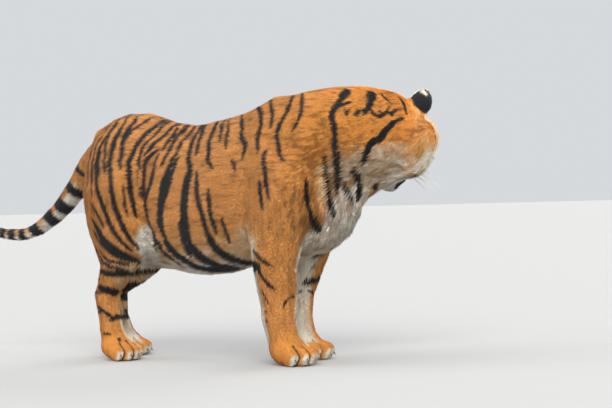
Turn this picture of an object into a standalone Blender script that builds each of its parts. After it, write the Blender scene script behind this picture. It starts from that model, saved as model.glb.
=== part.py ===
"""A bengal tiger at life size, standing on four paws and looking back over its left side.

The body is one flesh made of named masses: rounded lumps, and tapering lengths that follow a
smooth path. The masses are laid out as spheres and cones, fused by a voxel remesh, and settled
onto the smooth surface that blends them. Thin cuts then part the body where a person would name
its parts. +X is the way the body faces, +Y is its left, +Z is up.
"""

import math

import bmesh
import bpy
import numpy as np
from mathutils import Euler, Matrix, Vector

# ---- driving dimensions, metres --------------------------------------------------------------
ORIGIN = (-0.211, 0.091)  # middle of the whole animal's footprint, tail included
GAP = 0.0003  # each thin cut between two parts
VOXEL = 0.0100  # how finely the masses are fused
KEPT_SHARE = 0.060  # share of the fused faces that the solids keep
FINE_REACH = 0.24  # this far round the skull the faces stay finer
TAIL_ROOT = -0.585  # behind this there is only tail
PAW_TOP = 0.088  # where each paw parts from its leg
FAR = 9.0  # a reach that stands for "nowhere near"

WITHERS = 0.885  # height of the shoulder hump
CROUP = 0.865  # height of the rump
BACK_DIP = 0.810  # lowest point of the back
BELLY = 0.295  # lowest point of the belly
FORE_STEP = {-1: 0.375, 1: 0.300}  # how far forward each fore paw stands, right then left
HIND_STEP = {-1: -0.380, 1: -0.488}
FORE_TRACK = {-1: 0.102, 1: 0.094}  # from the middle line to each fore paw
HIND_TRACK = {-1: 0.098, 1: 0.080}
SPLAY = math.radians(12)  # each paw turns out by this

HEAD_AT = Vector((0.584, 0.198, 0.757))  # middle of the skull
HEAD_YAW = math.radians(120)  # how far the head looks round to the left
HEAD_PITCH = math.radians(15)  # nose down
HEAD_ROLL = math.radians(6)  # the far ear lower than the near one
EYE_AT = (0.104, 0.058, 0.038)
EYE_RADIUS = 0.0180
EYE_AIM = (0.80, 0.58, 0.12)  # where the left eye looks
EAR_AT = (-0.046, 0.104, 0.104)
EAR_DEEP, EAR_WIDE, EAR_TALL = 0.026, 0.043, 0.060  # half sizes of one ear

SIDES = (-1, 1)  # right, left
SIDE_NAME = {-1: "right", 1: "left"}

ORANGE = (0.78, 0.36, 0.09)
CREAM = (0.85, 0.78, 0.66)
AMBER = (0.72, 0.50, 0.14)
ROSE = (0.55, 0.27, 0.22)
SOOT = (0.05, 0.045, 0.04)


# ---- the flesh as a field: below zero inside, above zero outside --------------------------------
def ball(at, radii, tilt=(0, 0, 0), blend=0.03):
    """An egg-shaped mass. tilt is in degrees about X, Y and Z."""
    turn = Euler([math.radians(a) for a in tilt]).to_matrix()
    return {"kind": "ball", "at": Vector(at), "radii": Vector(radii), "turn": turn, "blend": blend}


def length(stations, squeeze=1.0, across=(0, 1, 0), blend=0.03, steps=3):
    """A tapering length along a smooth path. Each station is a place and the radius there.
    squeeze is its width along across over its depth."""
    places = [Vector(at) for at, thick in stations]
    thicks = [thick for at, thick in stations]
    path = []
    for i in range(len(stations) - 1):
        before, after = max(i - 1, 0), min(i + 2, len(stations) - 1)
        for j in range(steps + (i == len(stations) - 2)):
            t = j / steps
            at = smooth_between(places[before], places[i], places[i + 1], places[after], t)
            thick = smooth_between(thicks[before], thicks[i], thicks[i + 1], thicks[after], t)
            path.append((at, thick))
    across = Vector(across).normalized()
    return {"kind": "length", "path": path, "squeeze": squeeze, "across": across, "blend": blend}


def smooth_between(before, a, b, after, t):
    """A smooth curve through a and b that also heeds their neighbours."""
    bend = (b - before) * t + (2 * before - 5 * a + 4 * b - after) * t**2
    return 0.5 * (2 * a + bend + (3 * a - before - 3 * b + after) * t**3)


def reach_of(mass, points):
    """Roughly how far each point is outside one mass."""
    d = np.full(len(points), FAR)
    margin = 0.08
    if mass["kind"] == "ball":
        radii = np.array(mass["radii"])
        offset = points - np.array(mass["at"])
        near = np.abs(offset).max(axis=1) < radii.max() + margin
        local = offset[near] @ np.array(mass["turn"])
        level = np.linalg.norm(local / radii, axis=1)
        steep = np.linalg.norm(local / radii**2, axis=1)
        d[near] = level * (level - 1) / np.maximum(steep, 1e-9)
        return d
    places = np.array([at for at, thick in mass["path"]])
    thicks = np.array([thick for at, thick in mass["path"]])
    room = margin + thicks.max()
    near = ((points > places.min(axis=0) - room) & (points < places.max(axis=0) + room)).all(axis=1)
    close = points[near]
    best = np.full(len(close), FAR)
    squeeze, across = mass["squeeze"], np.array(mass["across"])
    for a, b, thick_a, thick_b in zip(places, places[1:], thicks, thicks[1:]):
        along = b - a
        share = np.clip((close - a) @ along / (along @ along), 0, 1)
        away = close - a - share[:, None] * along
        away = away + np.outer((away @ across) * (1 / squeeze - 1), across)
        gap = np.linalg.norm(away, axis=1) - (thick_a + share * (thick_b - thick_a))
        best = np.minimum(best, gap * min(1.0, squeeze))
    d[near] = best
    return d


def joined(d, other, blend):
    """Smooth union of two fields."""
    near = np.maximum(blend - np.abs(d - other), 0) / blend
    return np.minimum(d, other) - near * near * blend / 4


def field_of(masses, points):
    d = np.full(len(points), FAR)
    for mass in masses:
        d = joined(d, reach_of(mass, points), mass["blend"])
    return d


# ---- the masses of the body ----------------------------------------------------------------------
def trunk_masses():
    spine = 0.062  # radius of the muscle along the spine
    ridge = [
        ((-0.42, 0, CROUP - 0.100), 0.075),
        ((-0.30, -0.004, CROUP - 0.078), 0.078),
        ((-0.08, -0.010, BACK_DIP - spine), spine),
        ((0.12, -0.008, BACK_DIP - spine + 0.014), spine),
        ((0.30, 0, WITHERS - 0.085), 0.085),
    ]
    return [
        ball((0.15, -0.008, 0.600), (0.315, 0.172, 0.245), blend=0.04),  # ribs
        ball((-0.02, -0.014, BELLY + 0.215), (0.330, 0.160, 0.215), blend=0.05),  # belly
        ball((-0.17, -0.012, 0.655), (0.270, 0.142, 0.160), blend=0.06),  # loin
        length(ridge, blend=0.04),
        ball((-0.350, 0, 0.715), (0.195, 0.148, 0.150), blend=0.05),  # pelvis
        ball((-0.25, -0.006, 0.505), (0.19, 0.125, 0.185), blend=0.05),  # groin and flank
        ball((0.31, 0.005, WITHERS - 0.120), (0.170, 0.105, 0.120), blend=0.05),  # withers
        ball((0.375, 0.024, 0.545), (0.190, 0.138, 0.185), blend=0.05),  # breast
    ]


def neck_masses():
    """The neck swings round to the left in one sweep, deep from nape to throat."""
    sweep = [
        ((0.35, 0.005, 0.715), 0.172),
        ((0.47, 0.004, 0.748), 0.172),
        ((0.560, 0.050, 0.764), 0.162),
        ((0.588, 0.130, 0.762), 0.150),
    ]
    throat = [((0.42, 0.03, 0.56), 0.105), ((0.490, 0.060, 0.61), 0.100), ((0.555, 0.12, 0.655), 0.090)]
    return [length(sweep, blend=0.06, squeeze=0.88), length(throat, blend=0.05)]


def foreleg_masses(s):
    """s is -1 for the right leg and 1 for the left one."""
    x, y = FORE_STEP[s], s * FORE_TRACK[s]
    shoulder = [((0.265, s * 0.078, 0.775), 0.080), ((0.345, s * 0.104, 0.640), 0.118), ((0.375, s * 0.112, 0.55), 0.105)]
    lean = 0.0 if s < 0 else 0.052  # the left arm comes down from further forward
    arm = [
        ((x - 0.005 + lean, s * 0.112, 0.600), 0.105),
        ((x - 0.040 + lean, s * 0.118, 0.470), 0.098),
        ((x - 0.048 + lean * 0.6, s * 0.118, 0.360), 0.083),
        ((x - 0.048, y * 1.08, 0.240), 0.069),
        ((x - 0.046, y * 1.02, 0.140), 0.060),
        ((x - 0.028, y, 0.070), 0.057),
    ]
    return [
        length(shoulder, 0.62, blend=0.05),
        length(arm, 0.90, blend=0.05),
        ball((x - 0.085, s * 0.108, 0.470), (0.050, 0.052, 0.060), blend=0.04),  # elbow
    ] + paw_masses(x, y, s, 1.0)


def hindleg_masses(s):
    x, y = HIND_STEP[s], s * HIND_TRACK[s]
    back = 0.0 if s < 0 else 0.040  # the left leg reaches further back
    hip, knee, hock = x + 0.020 + back * 1.6, x + 0.062 + back * 0.9, x - 0.046 - back * 0.3
    shank = [
        ((hip + 0.01, s * 0.098, 0.600), 0.130),
        ((knee - 0.010, s * 0.112, 0.450), 0.094),
        ((knee - 0.030, s * 0.115, 0.355), 0.069),
        ((hock + 0.014, y * 1.08, 0.265), 0.048),
        ((hock, y * 1.05, 0.210), 0.044),
        ((hock + 0.008, y * 1.02, 0.140), 0.044),
        ((x - 0.028, y, 0.075), 0.046),
    ]
    return [
        ball((hip, s * 0.092, 0.610), (0.150, 0.088, 0.200), (0, 6, 0), blend=0.05),  # thigh
        ball((x - 0.036, s * 0.080, 0.470), (0.085, 0.068, 0.165), (0, -4, 0), blend=0.05),  # back of the thigh
        length(shank, 0.90, blend=0.04),
        ball((hock - 0.018, y * 1.06, 0.232), (0.026, 0.026, 0.034), blend=0.02),  # point of the hock
    ] + paw_masses(x, y, s, 0.93)


def paw_masses(x, y, s, size):
    """A broad palm with four toes in an arc, the two middle ones furthest forward."""
    forward = Vector((math.cos(SPLAY), s * math.sin(SPLAY), 0))
    side = Vector((-forward.y, forward.x, 0))
    at = Vector((x, y, 0))
    turn = math.degrees(SPLAY) * s
    palm = Vector((0.070, 0.062, 0.046)) * size
    masses = [ball(at - forward * 0.012 * size + Vector((0, 0, 0.044)), palm, (0, 0, turn), blend=0.02)]
    for place in (-1.5, -0.5, 0.5, 1.5):
        lead = 0.056 if abs(place) < 1 else 0.034
        toe = at + (forward * lead + side * place * 0.0315 + Vector((0, 0, 0.032))) * size
        fan = (0, 0, turn + place * 7)
        masses.append(ball(toe, Vector((0.040, 0.0185, 0.034)) * size, fan, blend=0.008))
    return masses


def tail_masses():
    """Down from the rump, then out behind and up at the tip."""
    stations = [
        ((-0.450, 0.000, 0.738), 0.047),
        ((-0.545, 0.006, 0.727), 0.047),
        ((-0.645, 0.016, 0.630), 0.043),
        ((-0.752, 0.026, 0.537), 0.034),
        ((-0.890, 0.026, 0.460), 0.026),
        ((-0.990, 0.018, 0.448), 0.023),
        ((-1.085, 0.006, 0.470), 0.021),
        ((-1.165, -0.008, 0.520), 0.017),
    ]
    return [length(stations, blend=0.03, steps=4)]


# ---- the head, in its own frame: +X to the nose, +Y to its left, +Z to the crown ---------------------
def head_matrix():
    turn = Euler((HEAD_ROLL, HEAD_PITCH, HEAD_YAW), "XYZ").to_matrix().to_4x4()
    return Matrix.Translation(HEAD_AT) @ turn


def head_masses():
    bridge = [((0.060, 0, 0.062), 0.034), ((0.120, 0, 0.036), 0.034), ((0.195, 0, 0.002), 0.029)]
    muzzle = [((0.060, 0, -0.040), 0.082), ((0.120, 0, -0.048), 0.070), ((0.168, 0, -0.052), 0.058)]
    jaw = [((-0.02, 0, -0.100), 0.075), ((0.08, 0, -0.106), 0.056), ((0.150, 0, -0.112), 0.044)]
    masses = [
        ball((-0.045, 0, 0.020), (0.112, 0.112, 0.108), blend=0.03),  # braincase
        ball((0.035, 0, 0.052), (0.092, 0.084, 0.060), (0, 12, 0), blend=0.03),  # forehead
        length(bridge, 1.25, blend=0.025),
        length(muzzle, 1.05, blend=0.03),
        ball((0.212, 0, -0.012), (0.024, 0.032, 0.024), (0, 15, 0), blend=0.012),  # nose
        ball((0.172, 0, -0.118), (0.044, 0.040, 0.034), blend=0.015),  # chin
        length(jaw, 1.15, blend=0.025),
    ]
    for s in SIDES:
        masses += [
            ball((0.040, s * 0.078, 0.000), (0.085, 0.055, 0.066), (0, 0, s * -14), blend=0.03),  # cheekbone
            ball((0.092, s * 0.052, 0.067), (0.034, 0.030, 0.017), (0, 24, s * 12), blend=0.02),  # brow
            ball((0.176, s * 0.037, -0.060), (0.052, 0.042, 0.046), (0, 0, s * -8), blend=0.014),  # whisker pad
            ball((-0.030, s * 0.112, -0.030), (0.064, 0.064, 0.088), (s * -10, 0, s * 10), blend=0.035),  # ruff
            ball((0.006, s * 0.088, -0.088), (0.070, 0.054, 0.052), (0, 0, s * -6), blend=0.035),  # jowl
        ]
    return masses


def flesh(points):
    """The whole animal's field."""
    d = field_of(trunk_masses() + neck_masses(), points)
    for masses in [foreleg_masses(s) for s in SIDES] + [hindleg_masses(s) for s in SIDES]:
        d = joined(d, field_of(masses, points), 0.03)
    d = joined(d, field_of(tail_masses(), points), 0.03)
    inverse = np.array(head_matrix().inverted())
    local = points @ inverse[:3, :3].T + inverse[:3, 3]
    head = field_of(head_masses(), local)
    for s in SIDES:
        aim = Vector((EYE_AIM[0], s * EYE_AIM[1], EYE_AIM[2])).normalized()
        eye_at = Vector((EYE_AT[0], s * EYE_AT[1], EYE_AT[2]))
        socket = ball(eye_at + aim * EYE_RADIUS * 1.45, [EYE_RADIUS * 1.08] * 3)
        head = -joined(-head, reach_of(socket, local), 0.008)
    return joined(d, head, 0.03)


# ---- from masses to one mesh ------------------------------------------------------------------------
def laid_out(mass, frame):
    """One mass as a mesh of spheres and cones, placed by frame."""
    lump = bmesh.new()
    if mass["kind"] == "ball":
        size = Matrix.Diagonal(list(mass["radii"]) + [1])
        place = frame @ Matrix.Translation(mass["at"]) @ mass["turn"].to_4x4() @ size
        bmesh.ops.create_uvsphere(lump, u_segments=24, v_segments=16, radius=1, matrix=place)
        return mesh_of(lump, "lump")
    squash = Matrix.Scale(mass["squeeze"], 4, mass["across"])
    path = mass["path"]
    for at, thick in path:
        place = frame @ Matrix.Translation(at) @ squash
        bmesh.ops.create_uvsphere(lump, u_segments=16, v_segments=10, radius=thick, matrix=place)
    for (a, thick_a), (b, thick_b) in zip(path, path[1:]):
        turn = (b - a).to_track_quat("Z", "X").to_matrix().to_4x4()
        place = frame @ Matrix.Translation((a + b) / 2) @ squash @ turn
        bmesh.ops.create_cone(
            lump, cap_ends=True, segments=16, radius1=thick_a, radius2=thick_b, depth=(b - a).length, matrix=place
        )
    return mesh_of(lump, "lump")


def fused_masses():
    """All masses as one closed mesh, through the voxel remesh."""
    here = Matrix.Identity(4)
    lumps = [laid_out(mass, here) for mass in trunk_masses() + neck_masses() + tail_masses()]
    for s in SIDES:
        lumps += [laid_out(mass, here) for mass in foreleg_masses(s) + hindleg_masses(s)]
    lumps += [laid_out(mass, head_matrix()) for mass in head_masses()]
    bm = bmesh.new()
    for lump in lumps:
        bm.from_mesh(lump)
        bpy.data.meshes.remove(lump)
    body = linked("body", mesh_of(bm, "body"))
    remesh = body.modifiers.new("fuse", "REMESH")
    remesh.mode = "VOXEL"
    remesh.voxel_size = VOXEL
    return applied(body)


def settle(obj, rounds=6):
    """Moves the fused mesh onto the smooth surface of the flesh, evening out its faces on the way."""
    bm = bmesh.new()
    bm.from_mesh(obj.data)
    step = 0.002
    for i in range(rounds):
        if i < rounds - 2:
            bmesh.ops.smooth_vert(bm, verts=bm.verts, factor=0.5, use_axis_x=True, use_axis_y=True, use_axis_z=True)
        bm.normal_update()
        points = np.array([v.co for v in bm.verts])
        normals = np.array([v.normal for v in bm.verts])
        d = flesh(points)
        slope = (flesh(points + step * normals) - d) / step
        points = points - np.clip(d / np.maximum(slope, 0.4), -0.02, 0.02)[:, None] * normals
        for v, p in zip(bm.verts, points):
            v.co = p
    bmesh.ops.smooth_vert(bm, verts=bm.verts, factor=0.5, use_axis_x=True, use_axis_y=True, use_axis_z=True)
    bm.to_mesh(obj.data)
    bm.free()


# ---- Blender helpers ----------------------------------------------------------------------------------
def mesh_of(bm, name):
    mesh = bpy.data.meshes.new(name)
    bm.to_mesh(mesh)
    bm.free()
    return mesh


def linked(name, mesh, home=None):
    obj = bpy.data.objects.new(name, mesh)
    (home or bpy.context.scene.collection).objects.link(obj)
    return obj


def applied(obj):
    """obj with its modifiers made real."""
    graph = bpy.context.evaluated_depsgraph_get()
    mesh = bpy.data.meshes.new_from_object(obj.evaluated_get(graph))
    obj.modifiers.clear()
    obj.data = mesh
    return obj


def combined(obj, cutter, operation):
    cut = obj.modifiers.new(operation.lower(), "BOOLEAN")
    cut.operation = operation
    cut.solver = "EXACT"
    cut.use_self = True
    cut.object = cutter
    return largest(applied(obj))


def largest(obj):
    """Keeps only the biggest connected piece of obj's mesh."""
    bm = bmesh.new()
    bm.from_mesh(obj.data)
    bmesh.ops.remove_doubles(bm, verts=bm.verts, dist=1e-6)
    seen, pieces = set(), []
    for start in bm.verts:
        if start in seen:
            continue
        piece, queue = [], [start]
        seen.add(start)
        while queue:
            v = queue.pop()
            piece.append(v)
            for edge in v.link_edges:
                other = edge.other_vert(v)
                if other not in seen:
                    seen.add(other)
                    queue.append(other)
        pieces.append(piece)
    pieces.sort(key=len)
    bmesh.ops.delete(bm, geom=[v for piece in pieces[:-1] for v in piece], context="VERTS")
    bmesh.ops.triangulate(bm, faces=bm.faces)
    bm.to_mesh(obj.data)
    bm.free()
    return obj


def tidied(obj):
    """Melts the slivers that the cuts leave on flat faces."""
    bm = bmesh.new()
    bm.from_mesh(obj.data)
    bmesh.ops.dissolve_limit(bm, angle_limit=math.radians(0.4), verts=bm.verts, edges=bm.edges)
    bmesh.ops.triangulate(bm, faces=bm.faces)
    bm.to_mesh(obj.data)
    bm.free()


def copied(obj, name):
    return linked(name, obj.data.copy())


def grown(obj, by):
    """A copy of obj, larger by a small even margin."""
    bm = bmesh.new()
    bm.from_mesh(obj.data)
    bm.normal_update()
    for v in bm.verts:
        v.co += v.normal * (by * v.calc_shell_factor())
    return linked("margin", mesh_of(bm, "margin"))


def drop(obj):
    bpy.data.objects.remove(obj, do_unlink=True)


def box(low, high, frame=Matrix.Identity(4)):
    """A box cutter between two corners, in a frame."""
    low, high = Vector(low), Vector(high)
    bm = bmesh.new()
    size = Matrix.Diagonal(list(high - low) + [1])
    bmesh.ops.create_cube(bm, size=1, matrix=frame @ Matrix.Translation((low + high) / 2) @ size)
    return linked("cutter", mesh_of(bm, "cutter"))


def split_off(body, name, cutter):
    """Takes what lies inside the cutter off the body, with a thin gap between the two."""
    piece = combined(copied(body, name), cutter, "INTERSECT")
    margin = grown(cutter, GAP)
    combined(body, margin, "DIFFERENCE")
    drop(cutter)
    drop(margin)
    return piece


def seated(piece, *hosts):
    """Sinks a piece's root into sockets of its own shape in its hosts."""
    margin = grown(piece, GAP)
    for host in hosts:
        combined(host, margin, "DIFFERENCE")
    drop(margin)
    return piece


def painted(name, colour, roughness):
    material = bpy.data.materials.new(name)
    material.use_nodes = True
    shader = material.node_tree.nodes["Principled BSDF"]
    shader.inputs["Base Color"].default_value = (*colour, 1)
    shader.inputs["Roughness"].default_value = roughness
    shader.inputs["Metallic"].default_value = 0.0
    return material


# ---- the parts ------------------------------------------------------------------------------------------
def thinned(body):
    """Fewer faces where the body is plain, more on the head and paws."""
    group = body.vertex_groups.new(name="plain")
    skull = np.array(HEAD_AT)
    for v in body.data.vertices:
        fine = (np.linalg.norm(np.array(v.co) - skull) < FINE_REACH) or v.co.z < PAW_TOP
        share = 0.86 if fine else 0.92 if v.co.x < TAIL_ROOT else 1.0
        group.add([v.index], share, "REPLACE")
    thin = body.modifiers.new("thin", "DECIMATE")
    thin.ratio = KEPT_SHARE
    thin.vertex_group = "plain"
    thin.vertex_group_factor = 1.0
    thin.use_collapse_triangulate = True
    applied(body)
    body.vertex_groups.clear()


def stand_flat(body):
    """Trims the soles to small flats on the floor."""
    floor = box((-2, -1, -1), (2, 1, 0))
    combined(body, floor, "DIFFERENCE")
    drop(floor)


def leg_cutter(s, low_back, low_front, back, front, top):
    """A block round one leg, from below the floor to top, leaning to leave the trunk its width."""
    cutter = box((back, -0.32, -0.1), (front, 0.32, top))
    for v in cutter.data.vertices:
        low = v.co.z < 0
        if v.co.y * s < 0:
            v.co.y = s * (0.0 if low else 0.055)
        if low:
            v.co.x = low_back if v.co.x < (back + front) / 2 else low_front
    return cutter


def part_legs(body):
    parts = {}
    for s in SIDES:
        side = SIDE_NAME[s]
        foreleg = split_off(body, f"{side}_upper_foreleg", leg_cutter(s, 0.155, 0.500, 0.215, 0.520, 0.585))
        hindleg = split_off(body, f"{side}_thigh", leg_cutter(s, -0.660, -0.270, -0.640, -0.170, 0.610))
        for leg, middle, foot, knee in (
            (foreleg, f"{side}_forearm", f"{side}_fore_paw", 0.305),
            (hindleg, f"{side}_shank", f"{side}_hind_paw", 0.345),
        ):
            lower = split_off(leg, middle, box((-1, -1, -1), (1, 1, knee)))
            paw = split_off(lower, foot, box((-1, -1, -1), (1, 1, PAW_TOP)))
            parts[leg.name], parts[middle], parts[foot] = leg, lower, paw
    return parts


def part_tail(body):
    base = split_off(body, "tail_base", box((-1.4, -0.15, 0.2), (TAIL_ROOT, 0.15, 0.9)))
    middle = split_off(base, "tail_middle", box((-1.4, -0.15, 0.2), (-0.785, 0.15, 0.9)))
    tip = split_off(middle, "tail_tip", box((-1.4, -0.15, 0.2), (-0.990, 0.15, 0.9)))
    return {"tail_base": base, "tail_middle": middle, "tail_tip": tip}


def part_head(body):
    bm = bmesh.new()
    reach = Matrix.Diagonal((0.215, 0.235, 0.235, 1))
    place = head_matrix() @ Matrix.Translation((0.062, 0, -0.025)) @ reach
    bmesh.ops.create_icosphere(bm, subdivisions=2, radius=1, matrix=place)
    head = split_off(body, "head", linked("cutter", mesh_of(bm, "cutter")))
    lean = Matrix.Translation((0.405, 0, 0.75)) @ Euler((0, math.radians(-16), 0)).to_matrix().to_4x4()
    neck = split_off(body, "neck", box((0, -0.35, -0.185), (0.5, 0.45, 0.4), lean))
    nose = split_off(head, "nose", box((0.214, -0.05, -0.042), (0.30, 0.05, 0.03), head_matrix()))
    jaw = split_off(head, "lower_jaw", box((0.045, -0.060, -0.25), (0.30, 0.060, -0.092), head_matrix()))
    parts = {"head": head, "neck": neck, "nose": nose, "lower_jaw": jaw}
    for s in SIDES:
        side = SIDE_NAME[s]
        parts[f"{side}_ear"] = seated(ear(s, f"{side}_ear"), head, neck)
        parts[f"{side}_eye"] = seated(eye(s, f"{side}_eye"), head)
    return parts


def eye(s, name):
    bm = bmesh.new()
    place = head_matrix() @ Matrix.Translation((EYE_AT[0], s * EYE_AT[1], EYE_AT[2]))
    bmesh.ops.create_icosphere(bm, subdivisions=2, radius=EYE_RADIUS, matrix=place)
    return linked(name, mesh_of(bm, name))


def ear(s, name):
    """A rounded cup, hollow in front, whose root is sunk in the head."""
    bm = bmesh.new()
    bmesh.ops.create_uvsphere(bm, u_segments=14, v_segments=9, radius=1)
    for v in bm.verts:
        x, y, z = v.co
        narrow = 1 - 0.16 * max(z, 0) ** 2  # a little narrower toward the tip
        front = max(x, 0)
        hollow = 1.25 * front * max(0, 1 - y * y - (z - 0.15) ** 2) ** 0.5
        v.co = ((x - hollow) * EAR_DEEP, y * EAR_WIDE * narrow, z * EAR_TALL)
    lean = Euler((math.radians(s * -30), math.radians(-8), math.radians(s * -32))).to_matrix().to_4x4()
    place = Matrix.Translation((EAR_AT[0], s * EAR_AT[1], EAR_AT[2])) @ lean
    bmesh.ops.transform(bm, matrix=head_matrix() @ place, verts=bm.verts)
    bmesh.ops.triangulate(bm, faces=bm.faces)
    return linked(name, mesh_of(bm, name))


def finish_of(name):
    if "eye" in name:
        return AMBER, 0.1
    if name == "nose":
        return ROSE, 0.5
    if "ear" in name and "arm" not in name:
        return SOOT, 0.9
    if "paw" in name or name == "lower_jaw":
        return CREAM, 0.9
    return ORANGE, 0.9


def main():
    for obj in list(bpy.data.objects):
        bpy.data.objects.remove(obj, do_unlink=True)
    body = fused_masses()
    settle(body)
    thinned(body)
    stand_flat(body)
    parts = part_tail(body)
    parts.update(part_legs(body))
    parts.update(part_head(body))
    parts["trunk"] = body
    home = bpy.data.collections.new("bengal_tiger")
    bpy.context.scene.collection.children.link(home)
    for name, obj in parts.items():
        obj.name = name
        obj.data.name = name
        for collection in list(obj.users_collection):
            collection.objects.unlink(obj)
        home.objects.link(obj)
        tidied(obj)
        for v in obj.data.vertices:
            v.co.x -= ORIGIN[0]
            v.co.y -= ORIGIN[1]
        colour, roughness = finish_of(name)
        obj.data.materials.clear()
        obj.data.materials.append(painted(name, colour, roughness))
        obj.data.shade_smooth()
        obj.data.set_sharp_from_angle(angle=math.radians(50))


main()
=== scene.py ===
"""A life-size bengal tiger, standing with its head turned away: skin, coat, face and claws."""

import math

import bmesh
import bpy
import numpy as np
from mathutils import Euler, Matrix, Quaternion, Vector
from mathutils.bvhtree import BVHTree


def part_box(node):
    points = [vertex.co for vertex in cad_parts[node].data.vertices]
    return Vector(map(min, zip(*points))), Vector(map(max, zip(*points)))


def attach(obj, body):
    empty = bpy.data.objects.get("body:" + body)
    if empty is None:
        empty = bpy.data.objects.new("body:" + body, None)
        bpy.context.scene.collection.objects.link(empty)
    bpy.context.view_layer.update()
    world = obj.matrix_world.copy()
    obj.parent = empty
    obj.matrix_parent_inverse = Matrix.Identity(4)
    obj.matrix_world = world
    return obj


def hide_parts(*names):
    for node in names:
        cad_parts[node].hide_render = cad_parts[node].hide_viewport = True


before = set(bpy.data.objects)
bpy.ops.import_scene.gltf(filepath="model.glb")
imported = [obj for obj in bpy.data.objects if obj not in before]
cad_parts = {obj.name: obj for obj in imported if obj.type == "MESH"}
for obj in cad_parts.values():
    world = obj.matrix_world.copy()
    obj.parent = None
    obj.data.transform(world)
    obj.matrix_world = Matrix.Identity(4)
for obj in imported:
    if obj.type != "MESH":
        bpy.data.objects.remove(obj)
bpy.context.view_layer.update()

SIDES = (-1, 1)  # right, left
CM = 0.01
MM = 0.001
SKIN_VOXEL = 0.0072  # the grain that the solids are fused at
SEAM_CLOSE = 0.0006  # how far each solid is swollen first, so that neighbours meet
SAME_PLACE = 0.00001
SEED = 7


# ---- places on the animal -------------------------------------------------------------------------
def middle_of(node):
    low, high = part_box(node)
    return (low + high) / 2


def body_origin():
    """The point on the floor between the legs that the body's places are measured from."""
    along = (middle_of("right_fore_paw").x + middle_of("right_hind_paw").x) / 2
    across = (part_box("right_upper_foreleg")[0].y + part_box("left_upper_foreleg")[1].y) / 2
    return np.array((along - 0.0025, across, 0.0))


EYE_TO_NOSE = math.radians(-21.5)  # how far the line from the eyes to the nose turns up to run level
EYES_AHEAD, EYES_ABOVE = 0.104, 0.038  # the eyes' place before and over the head's middle
EYES_APART = 0.058  # each from the middle


def head_frame():
    """The head's own axes: X to the nose, Y to its left, Z to the crown."""
    right, left, nose = middle_of("right_eye"), middle_of("left_eye"), middle_of("nose")
    between = (right + left) / 2
    across = (left - right).normalized()
    down_nose = nose - between
    down_nose -= across * down_nose.dot(across)
    forward = Quaternion(across, EYE_TO_NOSE) @ down_nose.normalized()
    up = forward.cross(across)
    turn = Matrix((forward, across, up)).transposed()
    return Matrix.Translation(between - turn @ Vector((EYES_AHEAD, 0, EYES_ABOVE))) @ turn.to_4x4()


ORIGIN = body_origin()
HEAD = np.array(head_frame())
HEAD_BACK = np.linalg.inv(HEAD)
RUMP = -0.585  # the tail's root, along the body
QUARTER = math.radians(35)  # how far the drawings of the neck are turned from the side to the front


def in_body(points):
    """Places in the body's own axes: X forward, Y left, Z up from the floor between the legs."""
    return np.atleast_2d(points) - ORIGIN


def in_head(points):
    return np.atleast_2d(points) @ HEAD_BACK[:3, :3].T + HEAD_BACK[:3, 3]


def from_head(points):
    return np.atleast_2d(points) @ HEAD[:3, :3].T + HEAD[:3, 3]


def ramp(values, start, end):
    """0 before start, 1 after end, smooth between. It runs backwards where start is above end."""
    t = np.clip((values - start) / (end - start), 0, 1)
    return t * t * (3 - 2 * t)


def within(points, middle, radii, soft=0.35):
    """1 inside an ellipsoid, fading to 0 over a soft share beyond it."""
    reach = np.linalg.norm((points - np.array(middle)) / np.array(radii), axis=1)
    return 1 - ramp(reach, 1, 1 + soft)


def unit(vectors):
    return vectors / np.maximum(np.linalg.norm(vectors, axis=-1, keepdims=True), 1e-9)


def ripple(points, size, seed=0):
    """A smooth wavering value in about -1 to 1, with waves of the given size."""
    total = np.zeros(len(points))
    for i in range(5):
        a = seed * 1.7 + i * 2.4
        way = np.array((math.cos(a), math.sin(a * 1.3), math.cos(a * 0.7 + 1))) / size * 2.6
        total += np.sin(points @ way + a * 3.1)
    return total / 3


def patchy(points, sizes, seed=0):
    """A value in -1 to 1 that changes at random, but smoothly, over patches of the given sizes."""
    p = points / np.array(sizes) + seed * 17.3
    cell = np.floor(p).astype(np.int64)
    f = p - cell
    f = f * f * (3 - 2 * f)
    total = np.zeros(len(p))
    for corner in np.ndindex(2, 2, 2):
        c = cell + np.array(corner)
        h = (c[:, 0] * 73856093) ^ (c[:, 1] * 19349663) ^ (c[:, 2] * 83492791)
        h = (h ^ (h >> 13)) * 1274126177 & 0x7FFFFFFF
        share = np.prod(np.where(np.array(corner), f, 1 - f), axis=1)
        total += share * ((h >> 8) % 4096 / 2047.5 - 1)
    return total


def streaks(points, lie, wide, long, seed=0):
    """A value in -1 to 1 in streaks that run along the lie of the hair."""
    total = np.zeros(len(points))
    for k in range(3):
        sizes = [wide] * 3
        sizes[k] = long
        total += lie[:, k] ** 2 * patchy(points, sizes, seed + k)
    return total


def numbers(things, what, width, kind=np.float64):
    """One value, or one row of values, for each thing of a mesh."""
    flat = np.empty(len(things) * width, np.float32 if kind is np.float64 else np.int32)
    things.foreach_get(what, flat)
    return flat.reshape(-1, width).astype(kind) if width > 1 else flat.astype(kind)


def coordinates(mesh):
    return numbers(mesh.vertices, "co", 3)


def set_coordinates(mesh, co):
    mesh.vertices.foreach_set("co", co.astype(np.float32).ravel())
    mesh.update()


def outward(mesh):
    return numbers(mesh.vertex_normals, "vector", 3)


def mesh_of(bm, name):
    """The mesh that a bmesh gives, once it is finished with."""
    mesh = bpy.data.meshes.new(name)
    bm.to_mesh(mesh)
    bm.free()
    return mesh


def in_scene(name, data):
    thing = bpy.data.objects.new(name, data)
    bpy.context.scene.collection.objects.link(thing)
    return thing


# ---- the skin ---------------------------------------------------------------------------------------
FLESH = [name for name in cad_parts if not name.endswith("_eye")]


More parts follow.
